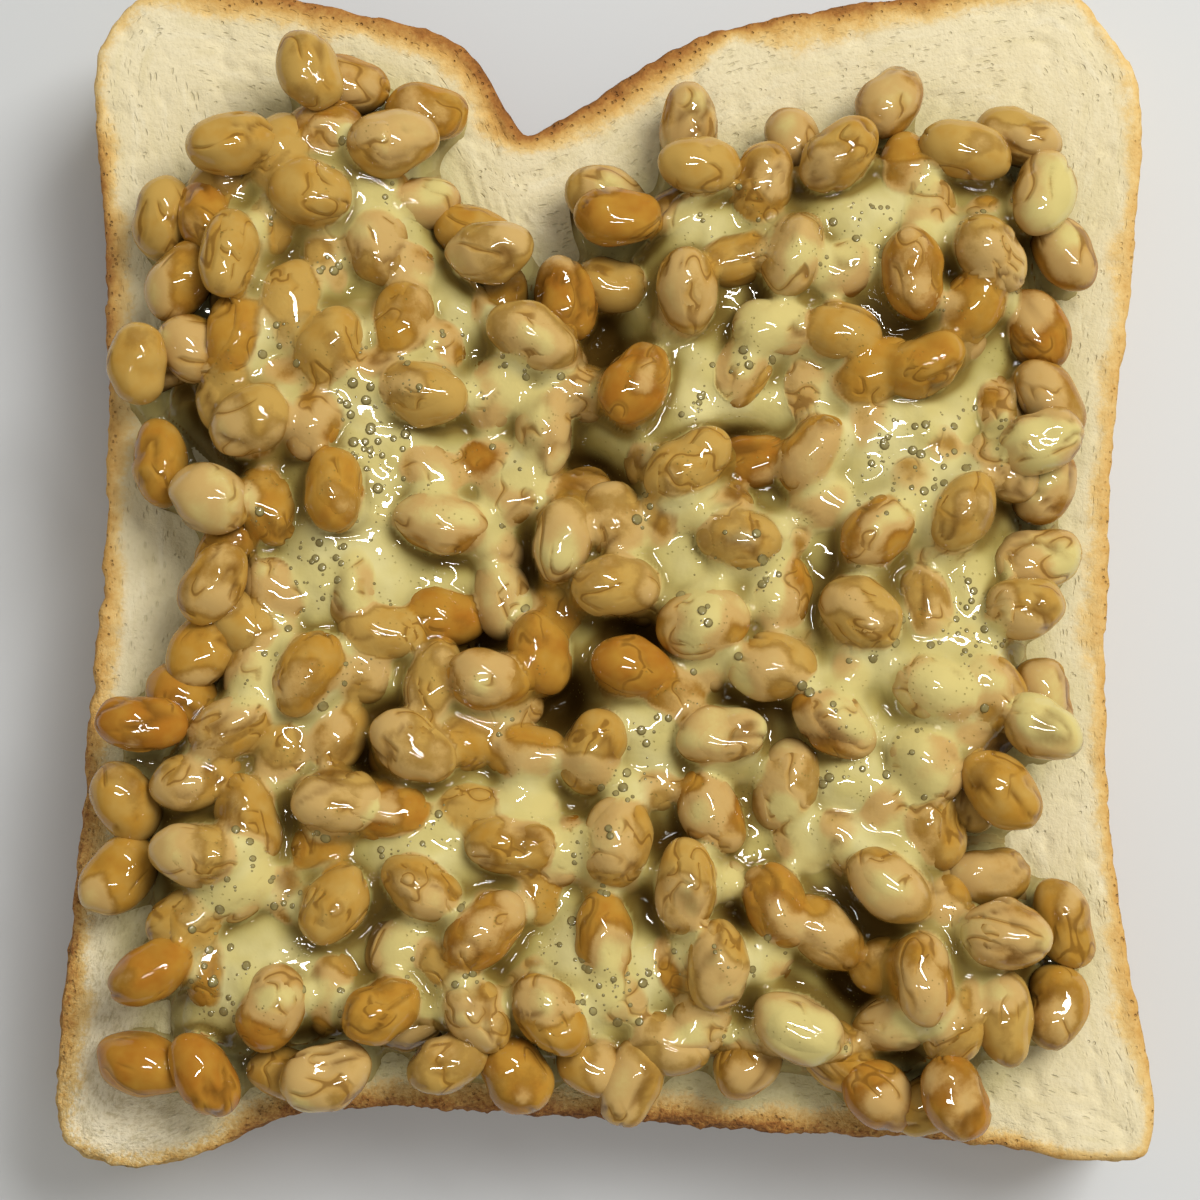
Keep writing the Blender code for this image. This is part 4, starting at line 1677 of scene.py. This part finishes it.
class Role(Enum):
    """What a lamp is for: soft light on everything, or bright strokes on wet surfaces."""

    FILL = "fill"
    HIGHLIGHT = "highlight"


@dataclass(frozen=True)
class Studio:
    """Floor, lights and camera.

    Attributes:
        distance: how far the camera is from the slice's top face.
        tilt: how far it leans from straight above towards -Y, in degrees.
        aim: the place on the top face that it looks at.
        focal: its focal length.
        sensor: the width of its sensor.
        floor_reach: how far the floor goes on every side.
        floor_gap: how far under the slice it lies.
        surround: how strongly the surround lights the piece.
        mirrored: how bright the surround is where a wet surface mirrors it.
        warm: the lamps' colour.
        sky: the surround's colour.
    """

    distance: float = 308.4
    tilt: float = 5.0
    aim: tuple[float, float] = (-0.88, -3.75)
    focal: float = 84.0
    sensor: float = 36.0
    floor_reach: float = 900.0
    floor_gap: float = 0.05
    surround: float = 0.47
    mirrored: float = 0.05
    warm: Colour = (1.0, 0.975, 0.93)
    sky: Colour = (1.0, 0.95, 0.87)

    def camera(self) -> None:
        """Sets the camera over the slice."""
        data = bpy.data.cameras.new("camera")
        data.lens = self.focal
        data.sensor_width = self.sensor
        data.clip_start = 0.01
        lean = math.radians(self.tilt)
        target = Vector((*self.aim, SLICE_THICK)) * MM
        offset = Vector((0, -math.sin(lean), math.cos(lean))) * self.distance * MM
        camera = bpy.data.objects.new("camera", data)
        camera.location = target + offset
        camera.rotation_euler = (lean, 0, 0)
        bpy.context.scene.collection.objects.link(camera)
        bpy.context.scene.camera = camera

    def floor(self) -> None:
        """Lays the floor just under the slice."""
        corners = self.floor_reach * np.array([[-1, -1, 0], [1, -1, 0], [1, 1, 0], [-1, 1, 0]])
        shape = Shape(corners - [0, 0, self.floor_gap], [np.array([[0, 1, 2, 3]])])
        shape.make("floor", FloorFinish().build())

    def lamp(self, name: str, place: Place, size: tuple[float, float], power: float,
             role: Role) -> None:
        """Adds an oblong area lamp that looks at the slice.

        Args:
            name: the lamp's name.
            place: where it hangs, in metres.
            size: its two sides, in metres.
            power: its watts.
            role: whether it lights surfaces or only shows in wet ones.
        """
        data = bpy.data.lights.new(name, "AREA")
        data.shape = "RECTANGLE"
        data.size, data.size_y = size
        data.energy = power
        data.color = self.warm
        lamp = bpy.data.objects.new(name, data)
        lamp.location = place
        lamp.rotation_euler = (Vector(place) - Vector((0, 0, 0.02))).to_track_quat("Z", "Y").to_euler()
        lamp.visible_glossy = role is Role.HIGHLIGHT
        lamp.visible_diffuse = role is Role.FILL
        bpy.context.scene.collection.objects.link(lamp)

    def light(self) -> None:
        """Soft light from the upper right, two tubes and a small lamp for highlights, and a surround.

        The surround lights the piece fully but is darker where a wet surface mirrors it.
        """
        self.lamp("soft_window", (0.74, 0.60, 1.20), (0.76, 0.76), 20.2, Role.FILL)
        self.lamp("tube_behind", (0.16, 0.22, 0.80), (0.34, 0.042), 3.3, Role.HIGHLIGHT)
        self.lamp("tube_before", (0.02, -0.12, 0.85), (0.30, 0.036), 2.5, Role.HIGHLIGHT)
        self.lamp("small_lamp", (0.30, -0.02, 0.75), (0.036, 0.036), 0.38, Role.HIGHLIGHT)
        world = bpy.data.worlds.new("surround")
        world.use_nodes = True
        shade = world.node_tree.nodes["Background"]
        path = world.node_tree.nodes.new("ShaderNodeLightPath")
        dim = world.node_tree.nodes.new("ShaderNodeMapRange")
        dim.inputs["To Min"].default_value = self.surround
        dim.inputs["To Max"].default_value = self.mirrored
        world.node_tree.links.new(path.outputs["Is Glossy Ray"], dim.inputs["Value"])
        world.node_tree.links.new(dim.outputs["Result"], shade.inputs["Strength"])
        shade.inputs["Color"].default_value = (*self.sky, 1.0)
        bpy.context.scene.world = world
        bpy.context.scene.view_settings.view_transform = "Standard"


def main() -> None:
    """Builds every piece in order, then the studio."""
    logging.basicConfig(level=logging.INFO, format="%(name)s: %(message)s")
    layout = HeapLayout()
    log.info("%d beans laid out", len(layout.rows))
    sauce_field = SauceField(layout)
    log.info("sauce worked out on %d by %d places", *sauce_field.level.shape)
    bread = BreadSlice(sauce_field)
    pieces = [bread.build(BreadFinish())]
    bean_finish = BeanFinish()
    pieces += Beans(layout, sauce_field).build(bean_finish)
    pieces.append(Sauce(sauce_field, bread).build(SauceFinish(bean_finish)))
    pieces.append(Bubbles(sauce_field).build(BubbleFinish()))
    for piece in pieces:
        piece.data.calc_loop_triangles()
        log.info("%s: %d triangles", piece.name, len(piece.data.loop_triangles))
    studio = Studio()
    studio.floor()
    studio.light()
    studio.camera()


if __name__ == "__main__":
    main()
